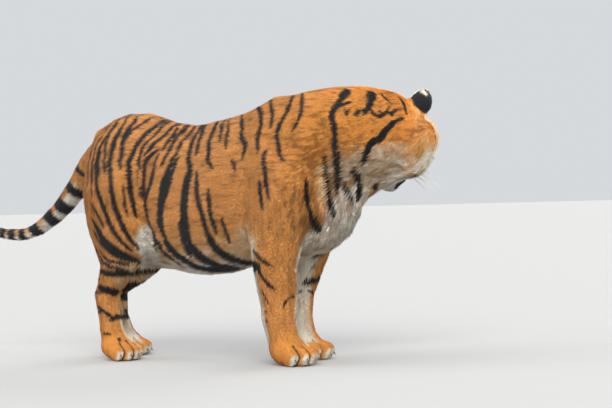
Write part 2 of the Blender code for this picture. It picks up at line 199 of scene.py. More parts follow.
def fused_flesh():
    """Every solid of flesh in one closed mesh, with no seam where they meet."""
    whole = bmesh.new()
    for name in FLESH:
        part = bmesh.new()
        part.from_mesh(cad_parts[name].data)
        bmesh.ops.remove_doubles(part, verts=part.verts, dist=SAME_PLACE)
        part.normal_update()
        for v in part.verts:
            v.co += v.normal * SEAM_CLOSE
        mesh = mesh_of(part, "part")
        whole.from_mesh(mesh)
        bpy.data.meshes.remove(mesh)
    mesh = mesh_of(whole, "skin")
    skin = in_scene("skin", mesh)
    fuse = skin.modifiers.new("fuse", "REMESH")
    fuse.mode = "VOXEL"
    fuse.voxel_size = SKIN_VOXEL
    graph = bpy.context.evaluated_depsgraph_get()
    fused = bpy.data.meshes.new_from_object(skin.evaluated_get(graph))
    skin.modifiers.clear()
    skin.data = fused
    bpy.data.meshes.remove(mesh)
    return skin


def keep_largest(skin):
    """Drops the little closed bubbles that a remesh can leave inside."""
    edges = numbers(skin.data.edges, "vertices", 2, np.int64)
    group = np.arange(len(skin.data.vertices))
    while True:
        lower = group.copy()
        near = np.minimum(group[edges[:, 0]], group[edges[:, 1]])
        np.minimum.at(lower, edges[:, 0], near)
        np.minimum.at(lower, edges[:, 1], near)
        lower = lower[lower]
        if (lower == group).all():
            break
        group = lower
    largest = np.bincount(group).argmax()
    bm = bmesh.new()
    bm.from_mesh(skin.data)
    bm.verts.ensure_lookup_table()
    strays = [bm.verts[i] for i in np.flatnonzero(group != largest)]
    bmesh.ops.delete(bm, geom=strays, context="VERTS")
    bm.to_mesh(skin.data)
    bm.free()


def relaxed(mesh, co, strength, rounds):
    """Evens out a mesh without shrinking it. Strength is a value for each vertex, up to about 0.6."""
    edges = numbers(mesh.edges, "vertices", 2, np.int64)
    a, b = edges.T
    n = len(co)
    degree = np.maximum(np.bincount(a, minlength=n) + np.bincount(b, minlength=n), 1)[:, None]
    for i in range(rounds * 2):
        total = [np.bincount(a, co[b, k], n) + np.bincount(b, co[a, k], n) for k in range(3)]
        pull = np.stack(total, 1) / degree - co
        co = co + pull * strength[:, None] * (1 if i % 2 == 0 else -0.93)
    return co


def refine(mesh, wanted):
    """Splits each face whose middle is wanted into four."""
    bm = bmesh.new()
    bm.from_mesh(mesh)
    middles = np.array([f.calc_center_median() for f in bm.faces])
    chosen = wanted(middles)
    edges = {e for f, yes in zip(bm.faces, chosen) if yes for e in f.edges}
    bmesh.ops.subdivide_edges(bm, edges=list(edges), cuts=1, use_grid_fill=True, smooth=0.5)
    bm.to_mesh(mesh)
    bm.free()


def headness(points):
    """1 on the head, fading to 0 round it."""
    local = in_head(points)
    return within(local, (0.03, 0, -0.03), (0.20, 0.17, 0.15), 0.2)


def face_only(points):
    """Where the face has its fine forms, from the brow to the chin."""
    local = in_head(points)
    return within(local, (0.15, 0, -0.03), (0.13, 0.105, 0.11), 0.01) > 0.5


def finest(points):
    """Round the eyes and the nose."""
    local = in_head(points)
    eyes = [(EYES_AHEAD, s * EYES_APART, EYES_ABOVE) for s in SIDES]
    near_eye = np.minimum(*[np.linalg.norm(local - eye, axis=1) for eye in eyes])
    near_nose = np.linalg.norm(local - (0.222, 0, -0.02), axis=1)
    return (near_eye < 0.034) | (near_nose < 0.036)


def round_toes(points):
    return toe_gap(points) < 0.011


# The tail's middle line, from its root, in the body's places.
TAIL = [
    (-0.545, 0.006, 0.727), (-0.645, 0.016, 0.630), (-0.752, 0.026, 0.537),
    (-0.890, 0.026, 0.460), (-0.990, 0.018, 0.448), (-1.085, 0.006, 0.470), (-1.165, -0.008, 0.520),
]


# ---- laying marks on the skin -----------------------------------------------------------------------
SURFACE = {}


def take_surface(mesh):
    """Marks and folds drawn from here on drop onto this mesh."""
    faces = [tuple(p.vertices) for p in mesh.polygons]
    SURFACE["tree"] = BVHTree.FromPolygons([v.co for v in mesh.vertices], faces)


def smooth_path(points, step):
    """A curve through the points, as places about a step apart."""
    points = np.array(points, float)
    if len(points) == 2:
        points = np.array((points[0], points.mean(0), points[1]))
    ends = np.vstack((2 * points[0] - points[1], points, 2 * points[-1] - points[-2]))
    out = []
    for i in range(1, len(ends) - 2):
        p0, p1, p2, p3 = ends[i - 1 : i + 3]
        n = max(2, int(np.linalg.norm(p2 - p1) / step))
        square, cube = 2 * p0 - 5 * p1 + 4 * p2 - p3, 3 * p1 - p0 - 3 * p2 + p3
        for t in np.arange(n) / n:
            out.append(0.5 * (2 * p1 + (p2 - p0) * t + square * t**2 + cube * t**3))
    out.append(points[-1])
    return np.array(out)


def tapered(n, half):
    """Half widths along a mark: full in its middle and thin at its ends."""
    t = np.linspace(0, 1, n)
    shape = np.minimum(np.minimum(1, t / 0.22), (1 - t) / 0.25)
    return half * (0.35 + 0.65 * np.sqrt(np.clip(shape, 0, 1)))


FAR = 2.0  # marks are dropped onto the body from this far out
LEAP = 0.05  # a mark that would jump this far from one point to the next has left its surface


def cast(origins, ways, halves):
    """Drops a mark's points onto the skin. Where it leaves the skin it breaks in two."""
    runs, run, last = [], [], None
    for origin, way, half in zip(origins, ways, halves):
        hit = SURFACE["tree"].ray_cast(Vector(origin), Vector(way))[0]
        if hit is None or (last is not None and (hit - last).length > LEAP):
            runs.append(run)
            run = []
        if hit is not None:
            run.append((tuple(hit), half))
        last = hit
    runs.append(run)
    return [(np.array([p for p, _ in r]), np.array([h for _, h in r])) for r in runs if len(r) > 1]


# How far from the middle the drawings of a side are held before their marks are dropped onto it.
FLANK_HEIGHTS = (0.30, 0.33, 0.38, 0.42, 0.70, 0.72, 0.76, 0.80, 0.84)
FLANK_HALF_WIDTHS = (0.09, 0.117, 0.146, 0.152, 0.135, 0.112, 0.085, 0.045, 0.02)
LEG_REACH = 0.155  # the same for the legs


def from_side(s, half, points, shift=0.0, reach=None):
    """A mark drawn in side view: centimetres forward of the rump, centimetres up."""
    path = smooth_path(np.array(points) * CM, 0.012)
    way = np.array((-math.sin(QUARTER), -s * math.cos(QUARTER), 0.0))
    bulge = np.interp(path[:, 1], FLANK_HEIGHTS, FLANK_HALF_WIDTHS)
    if reach:
        bulge = np.full(len(path), reach)
    places = np.stack((RUMP + path[:, 0] + shift, s * bulge, path[:, 1]), 1) + ORIGIN
    return cast(places - way * FAR, [way] * len(path), tapered(len(path), half * MM))


def from_quarter(half, points):
    """A mark drawn as seen from the right and in front: centimetres across, centimetres up."""
    c, n = math.cos(QUARTER), math.sin(QUARTER)
    path = smooth_path(np.array(points) * CM, 0.010)
    origins = [(c * a + n * 3 + ORIGIN[0], n * a - c * 3 + ORIGIN[1], z) for a, z in path]
    return cast(origins, [(-n, c, 0)] * len(path), tapered(len(path), half * MM))


def on_head(half, points):
    """A mark given in the head's own axes, in centimetres, dropped on the skin toward the head's middle."""
    path = smooth_path(np.array(points) * CM, 0.008)
    inside = np.array((0.02, 0.0, -0.02))
    aims = unit(inside - path)
    origins = from_head(path - aims * 0.12)
    return cast(origins, aims @ HEAD[:3, :3].T, tapered(len(path), half * MM))


def ring(middle, axis, half, start, end, tilt=0.0):
    """A band round a limb, from one angle to another in degrees, dropped from its middle outward."""
    axis = unit(np.array(axis, float))
    one = unit(np.cross(axis, (0.0, 1.0, 0.0)))
    two = np.cross(axis, one)
    n = max(4, int(abs(end - start) / 8))
    angles = np.radians(np.linspace(start, end, n))
    ways = np.cos(angles)[:, None] * one + np.sin(angles)[:, None] * two
    share = np.linspace(-0.5, 0.5, n)
    origins = np.array(middle) + axis * (share * tilt)[:, None]
    return cast(origins, ways, tapered(n, half * MM))


# ---- how long the hair is, over the animal ----------------------------------------------------------
RISE = 0.27  # how far the tips stand off the skin, as a share of the hair's length


def hair_length(points):
    """The coat's length in millimetres: long on belly, chest, cheeks and throat, short on face and feet."""
    p, h = in_body(points), in_head(points)
    x, y, z = p.T
    length = np.full(len(p), 14.5)

    def toward(value, amount):
        nonlocal length
        length = length + (value - length) * np.clip(amount, 0, 1)

    toward(26, ramp(z, 0.40, 0.33) * ramp(np.abs(y), 0.16, 0.10))
    toward(30, within(p, (0.53, 0.02, 0.56), (0.14, 0.15, 0.19), 0.4))
    toward(11, ramp(z, 0.30, 0.22))
    toward(8, ramp(z, 0.115, 0.075))
    toward(5.5, ramp(z, 0.05, 0.02))
    toward(17, ramp(x, RUMP - 0.06, RUMP - 0.10))
    head = within(h, (0.02, 0, -0.03), (0.20, 0.17, 0.15), 0.25)
    toward(15, head)
    for s in SIDES:
        toward(30, within(h, (-0.03, s * 0.125, -0.055), (0.075, 0.055, 0.10), 0.5))
    toward(24, within(h, (0.02, 0, -0.165), (0.12, 0.08, 0.05), 0.4))
    toward(8, head * ramp(h[:, 0], 0.03, 0.10) * ramp(np.abs(h[:, 1]), 0.105, 0.085))
    toward(5, head * ramp(h[:, 0], 0.12, 0.17))
    for s in SIDES:
        toward(9, within(h, (-0.046, s * 0.112, 0.118), (0.045, 0.06, 0.062), 0.2))
        toward(4.5, within(h, (EYES_AHEAD, s * EYES_APART, EYES_ABOVE), (0.040, 0.036, 0.034), 0.5))
    return length


def coat_depth(points, normals):
    """How far the skin lies inside the solids, so that the tips of the hair reach their outline."""
    sole = ramp(points[:, 2], 0.02, 0.008) * ramp(normals[:, 2], -0.5, -0.8)
    return hair_length(points) * MM * RISE * (1 - sole)


def press(co, normals, path, width, depth):
    """Presses a groove (or with a negative depth raises a fold) along a path of points."""
    path = np.asarray(path, float)
    d = path_distance(co, path)
    return co - normals * (depth * np.exp(-((d / width) ** 2)))[:, None]


def path_distance(points, path, halves=None):
    """Distance to a line of points, less the line's own half width there."""
    best = np.full(len(points), 9.0)
    for i in range(len(path) - 1):
        a, b = path[i], path[i + 1]
        run = b - a
        t = np.clip((points - a) @ run / max(run @ run, 1e-12), 0, 1)
        d = np.linalg.norm(points - a - t[:, None] * run, axis=1)
        if halves is not None:
            d = d - (halves[i] + (halves[i + 1] - halves[i]) * t)
        best = np.minimum(best, d)
    return best


SPLAY = math.radians(12)  # each paw turns out by this
# Each paw's side, its middle in the body's places, and its size.
FEET = [
    (-1, 0.375, -0.102, 1.0), (1, 0.300, 0.094, 1.0), (-1, -0.380, -0.098, 0.93), (1, -0.488, 0.080, 0.93),
]
# Each toe: how far forward its middle is, how far to the left, and its turn in degrees.
TOES = [(0.034, -0.047, -10.5), (0.056, -0.016, -3.5), (0.056, 0.016, 3.5), (0.034, 0.047, 10.5)]


def foot_frame(s, x, y, size):
    """A paw's own axes: X forward, Y left, Z up, at its middle on the floor."""
    stand = Matrix.Translation(ORIGIN + np.array((x, y, 0)))
    return stand @ Matrix.Rotation(SPLAY * s, 4, "Z") @ Matrix.Scale(size, 4)


def on_foot(points, foot):
    """Places in a paw's own axes."""
    back = np.array(foot_frame(*foot).inverted())
    return points @ back[:3, :3].T + back[:3, 3]


def toe_gap(points):
    """How far each point is from the nearest gap between two toes."""
    gap = np.full(len(points), 0.05)
    for foot in FEET:
        x, y, z = on_foot(points, foot).T
        for side in (-1, 0, 1):
            back = 0.028 if side else 0.040
            off = np.abs(y - side * (0.0315 + 0.12 * (x - 0.045)))
            off = off + 0.8 * np.maximum(back - x, 0) + np.maximum(x - 0.13, 0) + np.maximum(z - 0.068, 0)
            gap = np.minimum(gap, off + np.maximum(np.abs(y) - 0.09, 0))
    return gap


def toe_fronts(points):
    """1 at the front of each toe."""
    front = np.zeros(len(points))
    for foot in FEET:
        local = on_foot(points, foot)
        for lead, side, _ in TOES:
            toe = within(local, (lead + 0.041, side * 1.08, 0.008), (0.023, 0.016, 0.025), 0.75)
            front = np.maximum(front, toe * 0.95)
    return front


EYE_R = 0.018
EYE_SET = 0.008  # how far each eyeball sits behind its solid's place
LID_WIDE, LID_TALL = 0.0140, 0.0082  # half the eye's opening
LID_OVER, LID_UNDER = EYE_R + 0.0020, EYE_R - 0.0035  # how far the lids and the skin behind the ball stand
LID_ROUND = 0.015  # the lids are round out to here, then fall straight to the face


def eye_frames():
    """Each eye's middle and its axes: gaze, along the lids, and up."""
    frames = {}
    turn = HEAD[:3, :3]
    for s, name in zip(SIDES, ("right_eye", "left_eye")):
        gaze = unit(turn @ np.array((0.88, s * 0.45, 0.08)))
        along = turn @ np.array((-0.45 * s, 0.82, 0.26 * s)) * s
        along = unit(along - gaze * (along @ gaze))
        up = np.cross(gaze, along) * s
        frames[s] = (np.array(middle_of(name)) - gaze * EYE_SET, gaze, along, up)
    return frames


EYES = eye_frames()


def on_eye(points, s):
    """Places before one eye: along its lids, up, out, and how far out of the opening, whose edge is 1."""
    middle, gaze, along, up = EYES[s]
    q = points - middle
    u, v, w = q @ along, q @ up, q @ gaze
    lift = 0.0015 * np.cos(np.clip(u / LID_WIDE, -1, 1) * 1.5)
    shape = (np.abs(u / LID_WIDE) ** 1.7 + np.abs((v - lift) / LID_TALL) ** 1.7) ** (1 / 1.7)
    return u, v, w, shape


def set_lids(co):
    """Draws the skin over each eyeball as two lids, round an almond opening."""
    for s, (middle, gaze, along, up) in EYES.items():
        u, v, w, shape = on_eye(co, s)
        near = (np.hypot(u, v) < 0.040) & (np.abs(w) < 0.035)
        u, v, w, shape = u[near], v[near], w[near], shape[near]
        pull = np.where(np.abs(shape - 1) < 0.12, 1 / np.maximum(shape, 0.5), 1)
        inside = shape * pull < 0.999
        u, v = u * pull, v * pull
        rho = np.hypot(u, v)
        dome = np.sqrt(np.maximum(LID_OVER**2 - np.minimum(rho, LID_ROUND) ** 2, 0))
        dome = dome - 0.75 * np.maximum(rho - LID_ROUND, 0)
        raised = 0.5 * (w + dome + np.hypot(w - dome, 0.002))
        raised = w + (raised - w) * ramp(rho, 0.039, 0.030)
        sunk = np.sqrt(np.maximum(LID_UNDER**2 - rho**2, 0))
        out = np.where(inside, np.minimum(sunk, dome), np.where(shape < 1.13, dome, raised))
        co[near] = middle + u[:, None] * along + v[:, None] * up + out[:, None] * gaze
    return co


# The left half of the mouth and the left nostril, in the head's own axes.
MOUTH = [
    (0.222, 0, -0.044), (0.220, 0, -0.066), (0.214, 0.006, -0.083), (0.196, 0.030, -0.094),
    (0.165, 0.052, -0.099), (0.125, 0.067, -0.098), (0.088, 0.078, -0.088),
]
NOSTRIL = [(0.236, 0.008, -0.018), (0.234, 0.014, -0.017), (0.228, 0.020, -0.014), (0.222, 0.024, -0.016)]
# The face's grooves and, with a negative depth, its folds on the left: width, depth and line.
FACE_FOLDS = [
    (0.0050, 0.0085, MOUTH),
    (0.010, 0.003, [(0.130, 0.046, 0.014), (0.150, 0.052, -0.012), (0.150, 0.066, -0.040)]),
    (0.0040, 0.009, NOSTRIL),
    (0.004, -0.0025, [(0.226, 0.018, -0.006), (0.216, 0.030, -0.014), (0.218, 0.024, -0.032)]),
    (0.013, -0.007, [(0.135, 0.056, -0.112), (0.100, 0.062, -0.122), (0.070, 0.064, -0.124)]),
]


def face_line(points, s):
    """A line of the face's left half, laid on one side."""
    return from_head([(x, y * s, z) for x, y, z in points])


def mouth_line(s):
    return face_line(MOUTH, s)


TOE_GAP_DEPTH, TOE_GAP_WIDTH = 0.0075, 0.0042


def sculpt_face_and_toes(mesh, co):
    set_coordinates(mesh, co)
    normals = outward(mesh)
    for s in SIDES:
        for width, depth, points in FACE_FOLDS:
            co = press(co, normals, face_line(points, s), width, depth)
    deep = TOE_GAP_DEPTH * np.exp(-((toe_gap(co) / TOE_GAP_WIDTH) ** 2))
    return set_lids(co - normals * deep[:, None])


# Soft grooves and, with a negative depth, raised folds. Width and depth in millimetres, then the line in
# centimetres: forward of the rump and up in side view, or across and up from the front quarter.
SIDE_FOLDS = [
    (24, 8, [(97, 74), (90, 61), (86, 49), (88, 40)]),
    (30, -7, [(96, 84), (103, 72), (107, 60)]),
    (20, 8, [(111, 76), (114, 65), (116, 53)]),
    (15, 5, [(94, 60), (99, 51), (103, 43)]),
    (9, 4, [(81, 65), (78, 57), (76, 48)]),
    (8, 3.5, [(85, 62), (81, 54), (80, 46)]),
    (10, 3.5, [(73, 52), (71, 45), (72, 40)]),
    (12, 4, [(99, 38), (100, 29), (101, 19)]),
    (9, 3, [(94.5, 34), (95, 25), (96, 16)]),
    (26, 7, [(40, 73), (37, 62), (36, 51), (38, 43)]),
    (20, 4, [(23, 73), (20, 60), (22, 49)]),
    (30, -7, [(46, 81), (40, 77)]),
    (11, -6, [(33, 47), (40, 42), (48, 39)]),
    (12, 5, [(33, 51), (40, 46.5), (47, 44)]),
    (10, 4, [(27, 33), (25, 25), (24, 17)]),
    (9, 5, [(17, 20), (18, 14), (18, 9)]),
]
NECK_FOLDS = [
    (14, 5, [(48.5, 82), (47.5, 72), (46, 61)]),
    (11, 4, [(44, 76), (43.6, 66), (44, 55)]),
    (12, 5, [(51.5, 66), (49.8, 59), (47, 52)]),
    (10, 4, [(37, 62), (37.5, 54), (39, 46)]),
    (9, 5, [(53, 62), (57.5, 61.6), (61.5, 62.6)]),
]


def press_folds(mesh, co):
    take_surface(mesh)
    normals = outward(mesh)
    for width, depth, points in SIDE_FOLDS:
        for s in SIDES:
            for path, _ in from_side(s, 1, points):
                co = press(co, normals, path, width * MM, depth * MM)
    for width, depth, points in NECK_FOLDS:
        for path, _ in from_quarter(1, points):
            co = press(co, normals, path, width * MM, depth * MM)
    soft = 1 - headness(co)
    uneven = patchy(co, (0.07, 0.06, 0.05), 3) * 0.0022 + patchy(co, (0.03, 0.025, 0.03), 5) * 0.0009
    return co + normals * (uneven * soft * ramp(co[:, 2], 0.05, 0.12))[:, None]


def make_skin():
    skin = fused_flesh()
    keep_largest(skin)
    mesh = skin.data
    co = coordinates(mesh)
    strength = 0.60 - 0.35 * headness(co) - 0.2 * ramp(co[:, 2], 0.12, 0.08)
    co = relaxed(mesh, co, strength, 14)
    set_coordinates(mesh, co)
    co = press_folds(mesh, co)
    set_coordinates(mesh, co)
    refine(mesh, face_only)
    refine(mesh, finest)
    refine(mesh, round_toes)
    co = coordinates(mesh)
    co = relaxed(mesh, co, np.where(face_only(co), 0.5, 0.0), 3)
    set_coordinates(mesh, co)
    normals = outward(mesh)
    co = co - normals * coat_depth(co, normals)[:, None]
    co = sculpt_face_and_toes(mesh, co)
    co[:, 2] = np.maximum(co[:, 2], 0.0)
    set_coordinates(mesh, co)
    mesh.shade_smooth()
    return skin


# Half width in millimetres, then centimetres forward of the rump and centimetres up.
SIDE_STRIPES = [
    (5, [(10.3, 79.5), (10.5, 75), (12.3, 69), (12.5, 62)]),
    (5, [(12.7, 81.5), (12.2, 76), (14.2, 69), (14.4, 62), (14.7, 58)]),
    (5.5, [(15.5, 82), (14.6, 77), (15.8, 72), (17.5, 69.5), (18, 65)]),
    (8, [
        (16, 83), (14.6, 78), (14.6, 74), (16, 70), (16.5, 67), (17, 61.5), (19.5, 55.5), (22.5, 49),
        (26.5, 43.5), (32, 38.5),
    ]),
    (5.5, [(18, 85), (15.7, 80.5), (16.8, 76), (19.5, 70.5), (20.5, 65.5)]),
    (8.5, [
        (21.7, 86), (19.4, 80.5), (20.2, 75), (22.3, 70), (23.3, 63), (24.2, 57), (27, 50), (30, 44.5),
        (34.5, 39.5),
    ]),
    (5, [(20.5, 83), (20.3, 78), (22, 73.5)]),
    (8.5, [(26, 86), (23, 80.5), (24.5, 76), (26, 72), (27.5, 67.5)]),
    (9, [(39, 85), (33, 80.5), (31, 76), (30.5, 72), (31, 68), (31.3, 62), (32.5, 56), (34, 50.5)]),
    (6.5, [(32.5, 85.5), (28, 83), (25, 80.5), (24.5, 77)]),
    (6, [(44, 85), (39, 83), (36.5, 79), (34, 75), (34.5, 71.5), (35.5, 67.5)]),
    (8, [(47, 85), (43, 81.5), (41, 78.5), (38.5, 76), (36, 72)]),
    (8, [(41.5, 74), (39, 72), (37.8, 69), (37.5, 63), (37, 57)]),
    (8, [(42.5, 72.5), (42.4, 68), (40.6, 62), (38.7, 58), (38.4, 54), (40, 48.5), (42, 45),
        (42.5, 38.5)]),
    (7, [(48.5, 82), (47.3, 78), (46.6, 73), (45.5, 68)]),
    (6, [(45.5, 82), (44.8, 78), (43.5, 73.5)]),
    (9, [
        (51, 75.5), (50, 70), (48, 66), (46, 62), (45, 57.5), (44.3, 51), (45.5, 46.5), (48.5, 41.5),
        (53, 37), (60, 33),
    ]),
    (15, [(48.5, 66), (46.5, 60), (45.3, 54), (45, 49), (47, 43)]),
    (8, [(52.5, 71), (50, 65), (48.5, 60), (47, 56)]),
    (12, [(14, 51), (17.3, 46.5), (21, 42.3), (26, 38.8), (30, 36.3), (34, 34)]),
    (6, [(14.5, 56), (17.2, 52), (20, 47.5)]),
    (5, [(14.3, 47), (17.5, 42.5), (21, 39.5)]),
    (3.5, [(28.4, 62.5), (29.2, 56), (30.4, 51)]),
    (2.5, [(34.6, 67), (34.9, 62), (35.4, 57)]),
    (5.5, [(50, 83), (49, 79)]),
    (6.5, [(54, 83), (51, 77), (49.5, 74)]),
    (10, [
        (56, 84), (55.5, 75.5), (58, 66.5), (56.5, 61.5), (55.5, 54.5), (56, 48), (57.5, 42), (60, 37),
        (68, 33),
    ]),
    (17, [(57.5, 70), (58, 66), (56.5, 61), (55.5, 54.5), (56, 48), (58, 40)]),
    (9, [(53.5, 49), (55, 43), (57, 36)]),
    (10, [(61, 66), (61.5, 57), (64, 49.5), (66, 44), (69, 39), (76, 35)]),
    (13, [(66, 45), (70, 38.5), (78, 35), (84, 35)]),
    (8, [(66, 60), (67, 52), (69.5, 44)]),
    (6.5, [(71.5, 50), (75, 41)]),
    (7.5, [(57, 82), (59.5, 71)]),
    (9, [(62, 83.5), (63, 76), (66, 69.5), (68, 66.5)]),
    (6, [(64.5, 82.5), (68, 75)]),
    (6, [(67.5, 82), (71.5, 73)]),
    (8, [(72, 85), (76, 77), (79, 74.5), (80.5, 69)]),
    (8, [(79, 89), (83, 77.5), (86, 71)]),
    (6.5, [(84.5, 89), (86.5, 79)]),
    (7.5, [(95, 92), (90, 80.5), (93, 73.5), (97.5, 68)]),
    (6.5, [(98, 91), (96.5, 77.5)]),
    (8, [(89, 72), (90, 63), (91.5, 56)]),
    (6.5, [(87.5, 62), (89, 52)]),
    (8, [(106.2, 62), (106.7, 55), (109, 48), (112, 44.5)]),
    (14, [(108.6, 50), (110, 47), (112, 44.5)]),
    (17, [(47, 42), (51, 37.4), (57, 33.6), (63, 32.4)]),
    (14, [(54, 35), (60, 32.6), (68, 31.6), (74, 31.8)]),
    (20, [(57, 42), (62, 36), (69, 33), (76, 32.2)]),
    (17, [(66, 42), (71.5, 37), (79, 34.4), (85, 34)]),
    (9, [(70, 34), (78, 32.4), (85, 32.6)]),
    (10, [(43, 43), (46, 38), (52, 33.5)]),
    (5, [(76, 70), (77.5, 65)]),
]

# The near hind leg and foreleg, in the same measure.
LEG_STRIPES = [
    (9, [(15, 50), (17, 46.5), (20, 41.5), (24, 38), (30, 36), (34, 35)]),
    (5, [(15, 41), (18, 36), (22.5, 33.5), (27.5, 32.5), (31, 31.5)]),
    (5, [(17, 39.5), (20.5, 36.5), (25, 35), (31, 34)]),
    (11, [(15, 34), (19, 31.6), (25, 30.8), (33, 31.4)]),
    (15, [(15.5, 26.9), (18.5, 25.4), (23.5, 24.2), (28, 24.4), (33, 23.4)]),
    (6, [(15, 19.4), (18, 17.4), (22, 15.2)]),
    (8, [(20.5, 14.1), (24, 15.2), (29, 15.7)]),
    (3.5, [(17, 9.6), (21, 9.3)]),
    (5, [(24.3, 8.0), (24.9, 6.8)]),
    (4, [(27.2, 7.0), (27.8, 6.6)]),
    (5.5, [(85, 39), (88, 36), (93, 33)]),
    (6, [(86.5, 32.5), (90, 28), (93.5, 25.5)]),
    (4, [(88, 25.5), (90.5, 21)]),
    (3, [(89, 18.4), (89.6, 17.8)]),
    (3, [(89, 15.2), (90, 14.6)]),
    (3.5, [(96.5, 19), (97.5, 21.3), (100, 22.7), (105, 23.8)]),
]

# Half width in millimetres, then centimetres across and centimetres up, from the front quarter.
NECK_STRIPES = [
    (9, [(46, 92.5), (44, 88), (40.3, 83), (41, 78.5), (41, 71), (41.6, 65), (41.6, 61.5), (41, 56.5)]),
    (16, [(46, 90.8), (44.2, 88.2)]),
    (11, [(44.6, 89), (42.5, 86)]),
    (5, [(47, 86.8), (42.5, 85.3)]),
    (3, [(44.6, 85), (45.4, 82.6), (46.6, 84.6)]),
    (3, [(48.6, 84.6), (48.9, 82)]),
    (3, [(59.6, 85), (58.8, 83.6)]),
    (6, [(38, 70), (38.1, 64), (38.4, 59.6), (39, 54), (40.2, 49)]),
    (9, [(38.8, 56), (39.4, 52.5), (40.2, 49)]),
    (16, [(54.2, 90), (53.6, 87.2)]),
    (11, [(53.5, 87.5), (52.3, 84.5)]),
    (6.5, [(53, 86), (50.6, 82)]),
    (7, [(50, 93.5), (53.5, 93)]),
    (4, [(57, 90), (58, 88), (60.3, 86)]),
    (5, [
        (53, 85.5), (54.2, 82.3), (56.5, 81.6), (58, 82.9), (59, 83), (60, 82.2), (61.3, 83.6), (63.3, 83.8),
    ]),
    (3.5, [(55.8, 83.5), (56.4, 83)]),
    (4, [(47.3, 82.3), (49, 83), (51.4, 84.3)]),
    (6, [(63, 88.3), (64.5, 86), (65.4, 82.2)]),
    (5, [(64.3, 81), (62.5, 80.6), (61, 79.8)]),
    (9, [(61.5, 80.2), (60, 79), (58.5, 77.5), (56.8, 75.5)]),
    (13, [(58.5, 77.8), (56.3, 75), (55.3, 73.2)]),
    (11, [(56, 74.5), (53.5, 73.5), (52, 71.5), (51, 69.3), (50, 66)]),
    (11, [(46.8, 65.5), (48.3, 62), (48.7, 57.5), (47.8, 53.5)]),
    (6, [(44.3, 60), (45.2, 57), (46.8, 53.5)]),
    (5, [(43, 62.5), (44, 58)]),
    (9, [(54.2, 59.8), (54.7, 57.6)]),
    (11, [(62.6, 60.6), (62.9, 59.2), (62.2, 57.6)]),
]

# The far legs' inner sides, from the front quarter.
INNER_STRIPES = [
    (11, [(29, 26.3), (31.5, 26.8), (34.5, 27.8), (38.5, 29.8), (40, 30.6)]),
    (6, [(32, 34.8), (34, 35.8), (37, 37), (40, 39.5)]),
    (4, [(31.8, 31), (33.6, 32.2)]),
]

# Across the head's front, in centimetres of its own axes: forward, left, up. Each is laid on both sides.
HEAD_STRIPES = [
    (5, [(6.8, 0.4, 9.6), (5.0, 0.5, 11.6), (3.5, 0.6, 12.6)]),
    (5, [(7.2, 1.6, 9.6), (5.6, 4.2, 10.8), (3.2, 6.6, 10.6)]),
    (5, [(5.4, 1.2, 11.4), (3.6, 4.4, 12.2), (1.0, 7.0, 11.4)]),
    (5, [(3.4, 1.8, 12.6), (1.0, 5.0, 13.0), (-1.6, 7.0, 12.0)]),
    (4, [(10.4, 3.0, 7.4), (9.4, 4.8, 8.4), (7.6, 6.8, 8.6)]),
    (4.5, [(1.0, 1.2, 13.4), (-2.0, 1.5, 13.8)]),
    (5, [(7.6, 9.6, 4.4), (5.0, 11.4, 3.4), (2.6, 12.8, 1.0)]),
    (6, [(7.4, 9.9, 0.6), (4.4, 12.2, -1.6), (1.4, 14.4, -5.0), (0.2, 15.4, -8.6)]),
    (5.5, [(8.4, 9.6, -3.2), (5.6, 11.6, -6.4), (3.6, 12.8, -10.0)]),
    (3.5, [(13.6, 3.6, 3.4), (11.9, 4.0, 4.4)]),
    (1.5, [(21.0, 4.2, -4.2), (19.6, 5.2, -3.8), (18.0, 6.0, -3.4)]),
    (1.5, [(21.0, 4.4, -5.3), (19.4, 5.5, -5.0), (17.6, 6.3, -4.6)]),
    (1.5, [(20.8, 4.4, -6.4), (19.2, 5.5, -6.2), (17.4, 6.4, -6.0)]),
    (5, [(2.0, 14.0, 3.6), (-0.4, 15.0, 0.6), (-1.4, 15.4, -2.4)]),
]


# Metres along the tail from its root, and half width.
TAIL_BANDS = [
    (0.075, 8), (0.158, 19), (0.248, 26), (0.325, 23), (0.418, 24), (0.484, 15), (0.534, 17), (0.580, 14),
    (0.622, 15), (0.662, 13),
]

# Where each far leg stands, then its bands: height, half width, from and to in degrees.
LEG_BANDS = [
    ((-0.462, 0.105), [
        (0.302, 11, -90, 250), (0.263, 8, -90, 270), (0.214, 14, -90, 250), (0.142, 8, -60, 270),
        (0.36, 7, 90, 260),
    ]),
    ((-0.352, -0.105), [(0.315, 6, 150, 330), (0.250, 8, 130, 340), (0.165, 5, 160, 340)]),
    ((0.270, 0.112), [(0.34, 6, -60, 60), (0.24, 5, -70, 70)]),
]


def rings():
    """Bands round the tail and the legs."""
    marks = []
    tail = np.array(TAIL)
    steps = np.linalg.norm(np.diff(tail, axis=0), axis=1)
    along = np.concatenate(((0,), np.cumsum(steps)))
    for at, half in TAIL_BANDS:
        middle = np.array([np.interp(at, along, tail[:, k]) for k in range(3)])
        ahead = np.array([np.interp(at + 0.02, along, tail[:, k]) for k in range(3)])
        for start, end in ((-30, 190), (150, 370)):
            marks += ring(middle + ORIGIN, ahead - middle, half, start, end, 0.012)
    for (x, y), bands in LEG_BANDS:
        for z, half, start, end in bands:
            marks += ring(ORIGIN + np.array((x, y, z)), (0, 0, 1), half, start, end, 0.02)
    return marks


